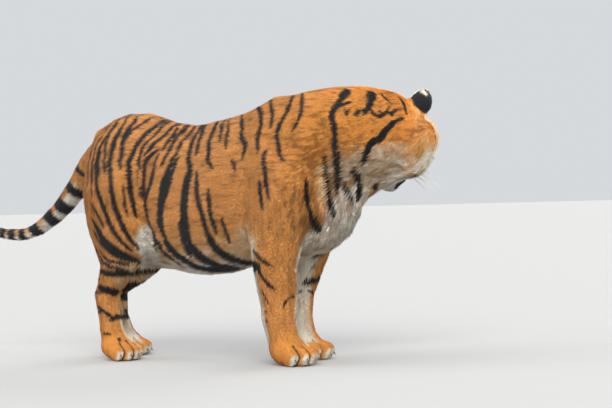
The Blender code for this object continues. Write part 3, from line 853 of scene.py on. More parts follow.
# Round the back of the haunches, in centimetres from the middle and up. Each is laid on both sides.
REAR_STRIPES = [
    (5, [(5.5, 79), (9, 74), (12, 67), (14, 60)]),
    (6, [(5.2, 73), (8, 68), (11, 61), (13, 54)]),
    (5, [(5, 67), (7.5, 61), (10.5, 54.5), (12.8, 48.5)]),
    (6, [(4, 60.5), (6.5, 55), (9.5, 49.5), (13.5, 44)]),
    (7, [(4, 54), (7, 48.5), (12.5, 42)]),
    (6, [(5, 46.5), (8.5, 42), (13, 38.5)]),
    (6, [(6, 39.5), (9, 36.5), (13.5, 34)]),
    (7, [(6.5, 32), (10, 30), (14, 29)]),
    (6, [(6.5, 25.5), (10, 24.2), (14, 24)]),
    (5, [(7, 18.5), (10, 17.5), (13.5, 17)]),
]


def from_behind(s, half, points):
    """A mark drawn as seen from behind: centimetres from the middle, centimetres up."""
    path = smooth_path(np.array(points) * CM, 0.012)
    origins = [(-FAR, s * y + ORIGIN[1], z) for y, z in path]
    return cast(origins, [(1, 0, 0)] * len(path), tapered(len(path), half * MM))


NEAR_SPINE = 0.775  # marks that end above this height are carried on to the spine


def over_spine(s, marks):
    """Carries the marks of one side that reach the back up to the spine."""
    more = []
    for path, halves in marks:
        places = in_body(path)
        top = places[:, 2].argmax()
        x, y, z = places[top]
        ends_there = top in (0, len(path) - 1) and z >= NEAR_SPINE
        if not ends_there or not -0.50 < x < 0.50 or s * y < 0.02:
            continue
        inner = places[2 if top == 0 else -3] if len(path) > 3 else places[0]
        slope = np.clip((x - inner[0]) / max(abs(y - inner[1]), 0.01), -0.7, 0.7)
        n = max(3, int(abs(y) / 0.010) + 2)
        across = np.linspace(y, -s * 0.012, n)
        along = x + slope * np.abs(across - y) * np.linspace(1, 0.5, n) + ORIGIN[0]
        origins = np.stack((along, across + ORIGIN[1], np.full(n, FAR)), 1)
        half = max(halves[top], 0.6 * halves.max())
        more += cast(origins, [(0, 0, -1)] * n, half * np.linspace(1, 0.45, n))
    return more


def kept_off(marks, where):
    """The parts of the marks outside a place given as a 0 to 1 share."""
    kept = []
    for path, halves in marks:
        clear = where(path) < 0.3
        for run in np.split(np.arange(len(path)), np.flatnonzero(np.diff(clear)) + 1):
            if clear[run[0]] and len(run) > 1:
                kept.append((path[run], halves[run]))
    return kept


def stripes():
    """Every dark mark, as the points of its middle line and the half width at each."""
    marks = []
    for half, points in SIDE_STRIPES:
        marks += from_side(-1, half, points)
    marks += over_spine(-1, marks)
    for i, (half, points) in enumerate(SIDE_STRIPES):
        moved = [(x + 1.6 * math.sin(i * 2.1 + z * 0.11), z + 0.8 * math.cos(i + x * 0.2)) for x, z in points]
        left = from_side(1, half * (0.85 + 0.25 * math.sin(i * 1.7)), moved, 0.012 * math.sin(i * 3.1))
        left = kept_off(left, lambda p: np.maximum(headness(p), leg_sides(in_body(p))[0]))
        marks += left + over_spine(1, left)
    for i, (half, points) in enumerate(REAR_STRIPES):
        marks += from_behind(-1, half, points)
        marks += from_behind(1, half * 1.1, [(y + 0.5, z + 1.2 * math.sin(i * 1.3)) for y, z in points])
    for half, points in LEG_STRIPES:
        marks += from_side(-1, half, points, 0, LEG_REACH)
        left = from_side(1, half, [(x - (11 if x < 50 else 6), z + 0.6) for x, z in points], 0, LEG_REACH)
        marks += kept_off(left, headness)
    for half, points in NECK_STRIPES + INNER_STRIPES:
        marks += from_quarter(half, points)
    for half, points in HEAD_STRIPES:
        for s in SIDES:
            marks += on_head(half, [(x, y * s, z) for x, y, z in points])
    return marks + rings()


def painted(rgb):
    """A colour given as 0 to 255, as the shader wants it."""
    c = np.array(rgb) / 255
    return np.where(c <= 0.04045, c / 12.92, ((c + 0.055) / 1.055) ** 2.4)


ORANGE = painted((216, 148, 78))
GOLD = painted((228, 152, 66))
RUST = painted((218, 146, 66))
SAND = painted((220, 178, 124))
WHITE = painted((236, 229, 214))
BLACK = painted((24, 25, 29))
# the painted shade in the partings of the coat
PARTING_SHADE_BROWN = painted((120, 72, 34))


# The middle of each leg at three heights, in the body's places, and its radius there.
LEGS = [
    (-1, ((0.36, -0.13, 0.50), (0.325, -0.116, 0.30), (0.335, -0.110, 0.10)), 0.085),
    (1, ((0.34, 0.13, 0.50), (0.265, 0.112, 0.30), (0.260, 0.108, 0.10)), 0.085),
    (-1, ((-0.36, -0.12, 0.50), (-0.352, -0.105, 0.30), (-0.372, -0.100, 0.10)), 0.100),
    (1, ((-0.46, 0.12, 0.50), (-0.462, 0.105, 0.30), (-0.482, 0.100, 0.10)), 0.100),
]


def leg_sides(p):
    """How much each of the body's places belongs to a leg, and how far out and back it faces there."""
    member, facing, behind = np.zeros(len(p)), np.ones(len(p)), np.zeros(len(p))
    for s, path, radius in LEGS:
        path = np.array(path)[::-1]
        middle = np.stack([np.interp(p[:, 2], path[:, 2], path[:, k]) for k in range(2)], 1)
        off = p[:, :2] - middle
        r = np.linalg.norm(off, axis=1)
        inside = ramp(r, radius * 1.25, radius) * ramp(p[:, 2], 0.50, 0.40)
        mine = inside > member
        member = np.where(mine, inside, member)
        facing = np.where(mine, s * off[:, 1] / np.maximum(r, 0.01), facing)
        behind = np.where(mine, -off[:, 0] / np.maximum(r, 0.01), behind)
    return member, facing, behind


def ear_turn(s):
    return np.array(Euler((math.radians(s * -30), math.radians(-8), math.radians(s * -32))).to_matrix())


def ear_places(h, s):
    """Places in one ear's own axes: X to its front, Y left, Z to its tip."""
    return (h - np.array((-0.046, s * 0.104, 0.104))) @ ear_turn(s)


# Pale ground: each place's middle, its radii, how softly it ends, and how pale it is.
PALE_ON_BODY = [
    ((-0.205, -0.13, 0.40), (0.035, 0.08, 0.06), 0.8, 1),  # before the haunch
    ((-0.30, 0.0, 0.42), (0.20, 0.09, 0.12), 0.5, 1),  # between the thighs
    ((0.24, 0.0, 0.41), (0.05, 0.20, 0.06), 0.8, 0.45),  # behind the elbows
    ((0.45, -0.01, 0.41), (0.07, 0.065, 0.07), 0.5, 0.9),  # between the forelegs
    ((0.57, -0.01, 0.61), (0.07, 0.08, 0.10), 0.9, 0.60),  # throat
]
# The same on the head, in its own axes, on the left. Each is laid on both sides.
PALE_ON_HEAD = [
    ((0.175, 0.040, -0.070), (0.060, 0.042, 0.036), 0.25, 1),  # muzzle
    ((0.100, 0.050, 0.066), (0.030, 0.024, 0.020), 0.5, 1),  # over the eye
    ((0.080, 0.098, -0.055), (0.050, 0.030, 0.050), 0.8, 0.8),  # cheek
    ((-0.02, 0.14, -0.140), (0.11, 0.07, 0.045), 0.8, 0.62),  # under the ruff
    ((0.02, 0.13, -0.02), (0.12, 0.08, 0.12), 0.7, 0.27),  # ruff
    ((-0.13, 0.065, -0.138), (0.07, 0.06, 0.045), 0.8, 0.48),  # behind the jaw
    ((0.0, 0.155, -0.100), (0.06, 0.045, 0.055), 0.6, 0.85),  # rim of the ruff
    ((0.10, 0, -0.15), (0.16, 0.10, 0.055), 0.5, 1),  # chin
    ((-0.12, 0, -0.165), (0.09, 0.10, 0.045), 0.9, 0.65),  # under the throat
]


def pale_share(points, normals):
    """How far the coat turns from orange to cream and white."""
    p, h = in_body(points), in_head(points)
    turned = normals @ HEAD[:3, :3]
    x, y, z = p.T
    pale = np.zeros(len(p))
    member, facing, behind = leg_sides(p)

    def add(amount):
        nonlocal pale
        pale = np.maximum(pale, amount)

    head = headness(points)
    trunk = ramp(x, -0.50, -0.34) * ramp(x, 0.56, 0.50) * ramp(z, 0.16, 0.22) * (1 - member)
    add(trunk * ramp(z, 0.50, 0.30) * (0.72 + 0.28 * ramp(z, 0.36, 0.32)))
    for middle, radii, soft, share in PALE_ON_BODY:
        add(within(p, middle, radii, soft) * share)
    add(ramp(x, 0.545, 0.60) * ramp(z, 0.70, 0.46) * (1 - head))
    add(within(p, (0.53, 0.03, 0.46), (0.10, 0.085, 0.16), 0.3) * ramp(y, -0.12, -0.07))
    hind = ramp(x, 0.0, -0.1)
    inner = ramp(facing, -0.05, -0.55) * ramp(z, 0.03, 0.07)
    add(member * inner * (0.88 - hind * (0.48 * ramp(z, 0.12, 0.20) + 0.08)))
    add(member * ramp(behind, 0.35, 0.75) * (1 - hind) * ramp(z, 0.05, 0.10) * 0.85)
    add(member * hind * ramp(z, 0.40, 0.32) * ramp(z, 0.10, 0.15) * ramp(behind, 0.45, -0.35) * 0.44)
    for s in SIDES:
        for (ahead, side, up), radii, soft, share in PALE_ON_HEAD:
            add(within(h, (ahead, s * side, up), radii, soft) * share)
        forward = (turned @ ear_turn(s))[:, 0]
        inside_ear = within(ear_places(h, s), (0.0, 0, 0.008), (0.035, 0.036, 0.050), 0.3)
        add(inside_ear * ramp(forward, 0.20, 0.50) * 0.9)
    add(head * ramp(h[:, 2], -0.06, -0.19) * 0.8)
    tail = ramp(x, RUMP - 0.01, RUMP - 0.06)
    under = ramp(above_tail(p), 0.010, -0.016)
    add(tail * np.maximum(under, 0.35 * ramp(x, -0.70, -0.95)))
    add(toe_fronts(points))
    return pale


def above_tail(p):
    """Height over the middle of the tail."""
    path = np.array(TAIL)[::-1]
    return p[:, 2] - np.interp(p[:, 0], path[:, 0], path[:, 2])


def ear_spot(ear, s):
    """1 on the pale spot behind one ear."""
    return within(ear, (-0.020, s * -0.013, 0.024), (0.02, 0.016, 0.0085), 0.25)


def soot_and_shade_share(points, normals):
    """Dark areas that aren't stripes: backs of ears, rims of eyes and lips, tip of tail, and painted shade in
    the gaps of the toes.
    """
    h = in_head(points)
    facing = normals @ HEAD[:3, :3]
    soot_and_shade = np.zeros(len(points))
    for s in SIDES:
        u, v, w, shape = on_eye(points, s)
        rim = ramp(shape, 1.62, 1.38) * (w > 0)
        corner = within(np.stack((w, u, v), 1), (0.010, -0.021, -0.005), (0.016, 0.009, 0.0045), 0.3)
        soot_and_shade = np.maximum(soot_and_shade, np.maximum(rim, corner))
        ear = ear_places(h, s)
        here = within(ear, (-0.005, 0, 0.015), (0.040, 0.056, 0.060), 0.1)
        forward = (facing @ ear_turn(s))[:, 0]
        back = here * ramp(ear[:, 2] + 0.7 * s * ear[:, 1], -0.056, -0.042) * ramp(forward, 0.45, 0.22)
        spot = ear_spot(ear, s)
        soot_and_shade = np.maximum(soot_and_shade, back * (1 - spot))
        lip = ramp(path_distance(points, mouth_line(s)[1:]), 0.0085, 0.0055)
        lip = np.maximum(lip, ramp(path_distance(points, mouth_line(s)[4:]), 0.0135, 0.0095))
        soot_and_shade = np.maximum(soot_and_shade, lip)
        flew = within(h, (0.105, s * 0.058, -0.120), (0.048, 0.020, 0.027), 0.2)
        soot_and_shade = np.maximum(soot_and_shade, flew)
    p = in_body(points)
    tip = ramp(np.linalg.norm(p - np.array(TAIL[-1]), axis=1), 0.052, 0.044)
    crest = ramp(above_tail(p), 0.027, 0.033) * ramp(p[:, 0], -0.69, -0.73) * ramp(p[:, 0], -0.92, -0.88)
    soot_and_shade = np.maximum(soot_and_shade, np.maximum(tip, crest))
    # painted shade in the gaps between the toes
    return np.maximum(soot_and_shade, ramp(toe_gap(points), 0.0052, 0.0022))


def spot_share(points):
    """1 on the pale spot behind each ear."""
    h = in_head(points)
    return np.maximum(*[ear_spot(ear_places(h, s), s) for s in SIDES])


# ---- colours of the coat ----------------------------------------------------------------------------
def mark_distance(points):
    """How far each point is outside the nearest dark mark. It is negative inside one."""
    far = np.full(len(points), 0.05)
    for path, halves in MARKS:
        low, high = path.min(0) - 0.03, path.max(0) + 0.03
        near = np.flatnonzero(((points > low) & (points < high)).all(1))
        if len(near):
            far[near] = np.minimum(far[near], path_distance(points[near], path, halves))
    return far


def coat_colour(points, darkness, pale, spread):
    """The coat's colour from how dark a mark is there and how pale the ground is."""
    warm = ramp(in_body(points)[:, 0], 0.15, 0.55) * ramp(points[:, 2], 0.5, 0.75)
    ground = ORANGE + (GOLD - ORANGE) * warm[:, None]
    ground = ground + (RUST - ground) * ramp(points[:, 2], 0.15, 0.07)[:, None]
    half = ramp(pale, 0.0, 0.55)[:, None]
    full = ramp(pale, 0.35, 1.0)[:, None]
    ground = ground + (SAND - ground) * half
    ground = ground + (WHITE - ground) * full
    ground = ground * spread[:, None]
    return ground + (BLACK - ground) * darkness[:, None]


class Cover:
    """What the coat needs to know at every point of the skin."""

    def __init__(self):
        mesh = skin.data
        mesh.calc_loop_triangles()
        self.points = coordinates(mesh)
        self.normals = outward(mesh)
        self.triangles = numbers(mesh.loop_triangles, "vertices", 3, np.int64)
        self.corners = numbers(mesh.loop_triangles, "loops", 3, np.int64)
        self.length = hair_length(self.points)
        self.lie = lie_of_coat(self.points, self.normals)
        halfway = self.points + self.lie * (self.length * MM * 0.45)[:, None]
        self.mark = mark_distance(halfway)
        self.pale = np.maximum(pale_share(self.points, self.normals), spot_share(self.points))
        self.soot_and_shade = soot_and_shade_share(self.points, self.normals)
        self.bare = bare_share(self.points)


def bare_share(points):
    """1 where no hair grows: nose, lids, lips and soles."""
    bare = np.maximum(ramp(points[:, 2], 0.006, 0.002), nose_share(points))
    for s in SIDES:
        _, _, out, shape = on_eye(points, s)
        lids = (shape < 1.25) & (out > 0) & (out < 0.03)
        lips = path_distance(points, mouth_line(s)) < 0.0035
        bare = np.maximum(bare, (lids | lips).astype(float))
    return bare


def nose_share(points):
    """1 on the nose leather, which is wide above and narrow below."""
    h = in_head(points)
    width = 0.0235 - 0.45 * np.clip(-0.016 - h[:, 2], 0, 0.05) - 0.25 * np.clip(h[:, 2] + 0.008, 0, 0.05)
    top = ramp(h[:, 2] + 0.2 * np.abs(h[:, 1]), 0.008, 0.004)
    low = ramp(h[:, 2], -0.050, -0.042)
    front = ramp(h[:, 0], 0.208, 0.214)
    return (front * ramp(np.abs(h[:, 1]), width + 0.004, width) * top * low > 0.5).astype(float)


# Where, in the body's places, and which way the hair lies there.
GUIDES = [
    ((0.45, 0.00, 0.88), (-1.0, 0.0, 0.0)),
    ((0.10, 0.00, 0.83), (-1.0, 0.0, 0.0)),
    ((-0.30, 0.0, 0.86), (-1.0, 0.0, -0.1)),
    ((-0.55, 0.0, 0.80), (-0.8, 0.0, -0.6)),
    ((0.40, 0.16, 0.70), (-0.9, 0.0, -0.45)),
    ((0.10, 0.16, 0.65), (-1.0, 0.0, -0.3)),
    ((-0.20, 0.16, 0.65), (-1.0, 0.0, -0.3)),
    ((-0.50, 0.13, 0.65), (-0.6, 0.0, -0.8)),
    ((0.40, 0.20, 0.50), (-0.6, 0.0, -0.8)),
    ((0.10, 0.15, 0.45), (-0.9, 0.0, -0.45)),
    ((-0.15, 0.15, 0.42), (-0.9, 0.0, -0.4)),
    ((0.10, 0.0, 0.31), (-1.0, 0.0, -0.1)),
    ((-0.20, 0.0, 0.34), (-1.0, 0.0, 0.0)),
    ((-0.40, 0.16, 0.50), (-0.25, 0.0, -1.0)),
    ((-0.55, 0.10, 0.50), (-0.1, 0.0, -1.0)),
    ((-0.38, 0.14, 0.38), (-0.3, 0.0, -1.0)),
    ((-0.44, 0.10, 0.25), (0.0, 0.0, -1.0)),
    ((-0.44, 0.10, 0.12), (0.15, 0.0, -1.0)),
    ((-0.36, 0.10, 0.06), (0.8, 0.0, -0.6)),
    ((0.34, 0.17, 0.38), (-0.25, 0.0, -1.0)),
    ((0.33, 0.13, 0.25), (-0.1, 0.0, -1.0)),
    ((0.33, 0.12, 0.12), (0.1, 0.0, -1.0)),
    ((0.42, 0.10, 0.06), (0.8, 0.0, -0.6)),
    ((0.58, 0.0, 0.50), (-0.3, 0.0, -1.0)),
    ((0.55, 0.0, 0.40), (-0.7, 0.0, -0.7)),
]


HEAD_GUIDES = [
    ((0.19, 0.02, 0.02), (-1.0, 0.1, 0.3)),
    ((0.12, 0.02, 0.06), (-0.9, 0.1, 0.5)),
    ((0.05, 0.02, 0.11), (-1.0, 0.1, 0.1)),
    ((-0.06, 0.02, 0.13), (-1.0, 0.0, -0.2)),
    ((0.17, 0.07, -0.04), (-0.9, 0.3, -0.3)),
    ((0.10, 0.09, -0.02), (-1.0, 0.4, -0.2)),
    ((0.05, 0.12, -0.05), (-0.9, 0.4, -0.5)),
    ((-0.02, 0.16, -0.05), (-0.7, 0.3, -0.8)),
    ((-0.05, 0.15, -0.12), (-0.5, 0.1, -1.0)),
    ((0.15, 0.03, -0.14), (-0.9, 0.2, -0.5)),
    ((0.05, 0.05, -0.16), (-0.9, 0.1, -0.5)),
    ((0.08, 0.10, 0.05), (-1.0, 0.3, 0.2)),
    ((-0.04, 0.12, 0.06), (-0.6, 0.3, 0.5)),
    ((-0.06, 0.115, 0.13), (-0.2, 0.1, 1.0)),
]


def lie_of_coat(points, normals):
    """Which way the hair lies on each point, from the guides round it."""
    places, ways = [], []
    for place, way in GUIDES:
        for s in SIDES if place[1] else (1,):
            places.append(np.array((place[0], place[1] * s, place[2])) + ORIGIN)
            ways.append((way[0], way[1] * s, way[2]))
    middle = from_head((-0.04, 0, -0.03))[0]
    withers = ORIGIN + np.array((0.42, 0.0, 0.70))
    back = unit(withers - middle)
    for s in SIDES:
        for place, way in HEAD_GUIDES:
            places.append(from_head((place[0], place[1] * s, place[2]))[0])
            ways.append(HEAD[:3, :3] @ np.array((way[0], way[1] * s, way[2])))
    for share in (0.35, 0.7):
        core = middle + (withers - middle) * share
        for off in ((0, 0, 0.13), (0, 0, -0.12), (0.1, -0.1, 0), (-0.1, 0.1, 0)):
            places.append(core + np.array(off))
            ways.append(back + np.array((0, 0, -0.25 if off[2] <= 0 else 0)))
    for a, b in zip(TAIL, TAIL[1:]):
        a, b = np.array(a), np.array(b)
        places.append((a + b) / 2 + ORIGIN)
        ways.append(unit(b - a))
    places, ways = np.array(places), unit(np.array(ways))
    total = np.zeros_like(points)
    for place, way in zip(places, ways):
        d = np.linalg.norm(points - place, axis=1)
        total += (1 / (d**2 + 0.0009) ** 2)[:, None] * way
    total -= normals * (total * normals).sum(1)[:, None]
    return unit(total)


def unwrap(obj):
    """Lays the skin out flat in patches, as the map that skin and coat share."""
    bpy.ops.object.select_all(action="DESELECT")
    bpy.context.view_layer.objects.active = obj
    obj.select_set(True)
    obj.data.uv_layers.new(name="OFBake")
    bpy.ops.object.mode_set(mode="EDIT")
    bpy.ops.mesh.select_all(action="SELECT")
    bpy.ops.uv.smart_project(angle_limit=math.radians(66), island_margin=0.002)
    bpy.ops.object.mode_set(mode="OBJECT")


skin = make_skin()
take_surface(skin.data)
MARKS = stripes()
unwrap(skin)
cover = Cover()
skin_uv = numbers(skin.data.uv_layers["OFBake"].uv, "vector", 2)


def tint(mesh, colours):
    layer = mesh.color_attributes.new("coat", "FLOAT_COLOR", "POINT")
    rgba = np.ones((len(colours), 4), np.float32)
    rgba[:, :3] = colours
    layer.data.foreach_set("color", rgba.ravel())


dark = np.maximum(ramp(cover.mark, 0.003, -0.002), cover.soot_and_shade)
# the skin beneath the coat painted darker, at 0.72, as painted shade under the hair
tint(skin.data, coat_colour(cover.points, dark, cover.pale, np.full(len(cover.points), 0.72)))


# ---- the coat -----------------------------------------------------------------------------------------
TUFTS = 330000
MOST_TUFTS = 48000  # in one piece of the coat
PATCH = 0.0015  # half of a tuft's patch on the map
FACES = np.array(((1, 3, 0), (0, 3, 2), (3, 1, 2), (1, 0, 2)))  # left 0, right 1, root 2, tip 3
ROOT_SHADE = (0.72, 0.72, 0.6, 1.08)  # painted shade at the same four points: darker toward the root, where the hair shades itself, and lighter at the tip


def grow():
    """Roots spread over the skin, closer where the hair is short, with what each tuft needs."""
    rng = np.random.default_rng(SEED)
    tri = cover.triangles
    a, b, c = (cover.points[tri[:, i]] for i in range(3))
    area = np.linalg.norm(np.cross(b - a, c - a), axis=1) / 2
    length = cover.length[tri].mean(1)
    bare = cover.bare[tri].max(1)
    weight = area / (length + 9) ** 1.15 * (bare < 0.5)
    total = np.cumsum(weight)
    pick = (np.arange(TUFTS) + rng.random(TUFTS)) / TUFTS * total[-1]
    which = np.searchsorted(total, pick)
    u, v = rng.random(TUFTS), rng.random(TUFTS)
    flip = u + v > 1
    u[flip], v[flip] = 1 - u[flip], 1 - v[flip]
    share = np.stack((1 - u - v, u, v), 1)

    def at_root(values):
        chosen = values[tri[which]]
        return (chosen * (share if values.ndim == 1 else share[:, :, None])).sum(1)

    corner = skin_uv[cover.corners[which]]
    return {
        "root": at_root(cover.points),
        "normal": unit(at_root(cover.normals)),
        "lie": unit(at_root(cover.lie)),
        "length": at_root(cover.length) * MM,
        "mark": at_root(cover.mark),
        "pale": at_root(cover.pale),
        "soot_and_shade": at_root(cover.soot_and_shade),
        "uv": (corner * share[:, :, None]).sum(1),
        "luck": rng.random((TUFTS, 5)),
    }


def shape_tufts(t):
    """Four points for each tuft: a flat three-cornered root and a tip along the lie of the coat."""
    luck = t["luck"]
    root, normal = t["root"], t["normal"]
    turn = ((luck[:, 0] - 0.5) * 0.5 + ripple(root, 0.05, 3) * 0.12)[:, None]
    side = np.cross(normal, t["lie"])
    way = unit(t["lie"] * np.cos(turn) + side * np.sin(turn))
    side = np.cross(normal, way)
    length = t["length"] * (0.75 + 0.5 * luck[:, 1])
    rise = RISE * (0.45 + 0.75 * luck[:, 2])
    width = 0.0010 + t["length"] * 0.06 + 0.0
    roll = ((luck[:, 3] - 0.5) * 0.5)[:, None]
    across = side * np.cos(roll) + normal * np.sin(roll)
    half = across * (width / 2)[:, None]
    left, right = root + half, root - half
    deep = root - normal * (width * 0.55)[:, None]
    tip = root + way * (length * np.sqrt(1 - rise**2))[:, None] + normal * (length * rise)[:, None]
    tip[:, 2] = np.maximum(tip[:, 2], 0.0005)
    return np.stack((left, right, deep, tip), 1)


def uneven_places(root):
    """How rough the coat is on neck and nape, where the cheeks are painted lighter as painted light, and 1
    off the legs.
    """
    p, h = in_body(root), in_head(root)
    rough = within(p, (0.55, -0.04, 0.57), (0.14, 0.16, 0.20), 0.6)
    rough = np.maximum(rough, 0.5 * within(h, (-0.12, 0, 0.02), (0.20, 0.22, 0.20), 0.5))
    h[:, 1] = np.abs(h[:, 1])
    lit_cheek = within(h, (-0.06, 0.13, -0.015), (0.11, 0.09, 0.095), 0.6)
    return rough * (1 - lit_cheek), lit_cheek, 1 - 0.75 * leg_sides(p)[0]


def tuft_colours(t):
    """A colour for each point of each tuft."""
    luck, root = t["luck"], t["root"]
    edge = t["mark"] - 0.0012 + (luck[:, 4] - 0.5) * 0.0026 + ripple(root, 0.02, 1) * 0.0010
    sooty_and_shaded = ramp(t["soot_and_shade"] + (luck[:, 4] - 0.5) * 0.4, 0.45, 0.55)
    darkness = np.maximum(ramp(edge, 0.0006, -0.0006), sooty_and_shaded)
    fine = streaks(root, t["lie"], 0.0065, 0.034, 2)
    broad = streaks(root, t["lie"], 0.014, 0.07, 12)
    pale = np.clip(t["pale"] + (luck[:, 0] - 0.5) * 0.16 + 0.30 * broad * ramp(t["pale"], 0.02, 0.3), 0, 1)
    rough, lit_cheek, off_leg = uneven_places(root)
    spread = 0.86 + 0.28 * luck[:, 3] + 0.24 * fine + 0.13 * broad
    # painted light: the legs lighter, against the shade they stand in
    spread = spread + 0.09 * patchy(root, (0.035, 0.05, 0.09), 9) + 0.07 * (1 - off_leg)
    x, _, z = in_body(root).T
    # painted shade: the lower flank darker, as it lies in shade under the light from above
    low_flank_shade = 0.12 * ramp(z, 0.52, 0.40) * ramp(z, 0.30, 0.34)
    spread = spread - low_flank_shade * ramp(x, -0.36, -0.26) * ramp(x, 0.30, 0.16)
    colour = coat_colour(root, darkness, pale, spread)
    # painted light: the cheeks made lighter where light falls on them
    colour = colour * (1 + 0.20 * lit_cheek * (1 - darkness))[:, None]
    # painted shade in the partings between clumps of hair, deeper where the coat is rough
    gap = ramp(fine + 0.5 * broad - 0.55 * rough, -0.25, -0.85) * (1 - darkness)
    gap = gap * (0.55 - 0.25 * pale) * off_leg
    colour = colour + (PARTING_SHADE_BROWN * (1 + pale[:, None]) - colour) * gap[:, None]
    # painted shade: each tuft darker toward its root
    return np.stack([colour * shade for shade in ROOT_SHADE], 1)


ZONES = ["right_side", "left_side", "belly", "forelegs", "hind_legs", "neck", "head", "tail"]


def zone_of(points):
    """Which zone of the coat a root belongs to, as its place in the list."""
    x, y, z = in_body(points).T
    zone = np.full(len(points), 0)
    zone[y > 0] = 1
    zone[(z < 0.36) & (np.abs(y) < 0.13)] = 2
    zone[(x > 0.08) & (z < 0.42) & (x < 0.56)] = 3
    zone[(x < -0.10) & (z < 0.44)] = 4
    front = x > 0.44
    zone[front] = np.where(z[front] > 0.45, 5, 3)
    zone[headness(points) > 0.3] = 6
    zone[x < RUMP - 0.005] = 7
    return zone


def coat_mesh(name, corners, colours, uv):
    n = len(corners)
    mesh = bpy.data.meshes.new(name)
    mesh.vertices.add(n * 4)
    mesh.vertices.foreach_set("co", corners.astype(np.float32).ravel())
    index = (np.arange(n)[:, None, None] * 4 + FACES).astype(np.int32)
    mesh.loops.add(n * 12)
    mesh.loops.foreach_set("vertex_index", index.ravel())
    mesh.polygons.add(n * 4)
    mesh.polygons.foreach_set("loop_start", np.arange(n * 4, dtype=np.int32) * 3)
    mesh.update(calc_edges=True)
    layer = mesh.uv_layers.new(name="OFBake")
    patch = np.array(((-1, -1), (1, -1), (0, -0.4), (0, 1))) * PATCH
    spots = uv[:, None, :] + patch
    layer.uv.foreach_set("vector", spots[:, FACES.ravel()].astype(np.float32).ravel())
    tint(mesh, colours.reshape(-1, 3))
    mesh.shade_smooth()
    return in_scene(name, mesh)


def make_coat():
    tufts = grow()
    corners, colours = shape_tufts(tufts), tuft_colours(tufts)
    zones = zone_of(tufts["root"])
    made = []
    for i, zone in enumerate(ZONES):
        chosen = np.flatnonzero(zones == i)
        parts = max(1, math.ceil(len(chosen) / MOST_TUFTS))
        for k, some in enumerate(np.array_split(chosen, parts)):
            name = f"coat_{zone}" + (f"_{k + 1}" if parts > 1 else "")
            made.append(coat_mesh(name, corners[some], colours[some], tufts["uv"][some]))
    return made


# ---- finishes -------------------------------------------------------------------------------------------
def finish(name, roughness, sheen=0.0):
    material = bpy.data.materials.new(name)
    material.use_nodes = True
    nodes, links = material.node_tree.nodes, material.node_tree.links
    shader = nodes["Principled BSDF"]
    shader.inputs["Roughness"].default_value = roughness
    shader.inputs["Sheen Weight"].default_value = sheen
    return material, nodes, links, shader


def noise(nodes, links, scale):
    place = nodes.new("ShaderNodeTexCoord")
    texture = nodes.new("ShaderNodeTexNoise")
    texture.inputs["Scale"].default_value = scale
    texture.inputs["Detail"].default_value = 3.0
    links.new(place.outputs["Object"], texture.inputs["Vector"])
    return texture.outputs["Fac"]


def bumped(nodes, links, shader, grain, distance):
    bump = nodes.new("ShaderNodeBump")
    bump.inputs["Distance"].default_value = distance
    bump.inputs["Strength"].default_value = 1.0
    links.new(noise(nodes, links, grain), bump.inputs["Height"])
    links.new(bump.outputs["Normal"], shader.inputs["Normal"])


def read_colours(nodes, links, shader, grain, low, high):
    """Gives the shader the colours laid on the mesh, darker and lighter by a grain."""
    colour = nodes.new("ShaderNodeAttribute")
    colour.attribute_name = "coat"
    stretch = nodes.new("ShaderNodeMapRange")
    stretch.inputs["To Min"].default_value = low
    stretch.inputs["To Max"].default_value = high
    vary = nodes.new("ShaderNodeHueSaturation")
    links.new(noise(nodes, links, grain), stretch.inputs["Value"])
    links.new(stretch.outputs["Result"], vary.inputs["Value"])
    links.new(colour.outputs["Color"], vary.inputs["Color"])
    links.new(vary.outputs["Color"], shader.inputs["Base Color"])


def hair_finish(name, grain, depth):
    """The colours of skin and coat with a fine grain and relief."""
    material, nodes, links, shader = finish(name, 0.60, 0.04)
    shader.inputs["Specular IOR Level"].default_value = 0.22
    read_colours(nodes, links, shader, grain, 0.7, 1.3)
    bumped(nodes, links, shader, grain * 1.5, depth)
    return material


skin_finish = hair_finish("short hair", 260.0, 0.0012)
skin.data.materials.append(skin_finish)
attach(skin, "root")
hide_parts(*FLESH)

coat_finish = hair_finish("coat", 420.0, 0.0004)
for piece in make_coat():
    piece.data.materials.append(coat_finish)
    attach(piece, "root")


# ---- eyes -----------------------------------------------------------------------------------------------
PUPIL = 16  # half angle, in degrees, seen from the middle of the ball
# The iris' dark rim and the white beyond it: colour, and the angles where each starts and is full.
EYE_RINGS = [((60, 44, 22), 36, 44), ((120, 104, 84), 46, 56)]


def make_eye(s, name):
    """An eyeball with its cornea, lying in its lids."""
    middle, gaze, along, up = EYES[s]
    bm = bmesh.new()
    bmesh.ops.create_uvsphere(bm, u_segments=40, v_segments=28, radius=EYE_R)
    for v in bm.verts:
        if v.co.z > EYE_R * 0.80:
            v.co.z += (v.co.z - EYE_R * 0.80) * 0.35
    turn = Matrix((along, up * s, gaze)).transposed().to_4x4()
    bmesh.ops.transform(bm, matrix=Matrix.Translation(middle) @ turn, verts=bm.verts)
    bmesh.ops.recalc_face_normals(bm, faces=bm.faces)
    mesh = mesh_of(bm, name)
    co = coordinates(mesh)
    lean = np.degrees(np.arccos(np.clip(unit(co - middle) @ gaze, -1, 1)))
    colours = np.where((lean < PUPIL)[:, None], painted((6, 6, 8)), painted((196, 142, 40)))
    for rgb, start, full in EYE_RINGS:
        colours = colours + (painted(rgb) - colours) * ramp(lean, start, full)[:, None]
    tint(mesh, colours)
    mesh.shade_smooth()
    return in_scene(name, mesh)


def eye_finish():
    material, nodes, links, shader = finish("eye", 0.08)
    read_colours(nodes, links, shader, 900.0, 0.6, 1.4)
    shader.inputs["Coat Weight"].default_value = 1.0
    shader.inputs["Coat Roughness"].default_value = 0.03
    return material


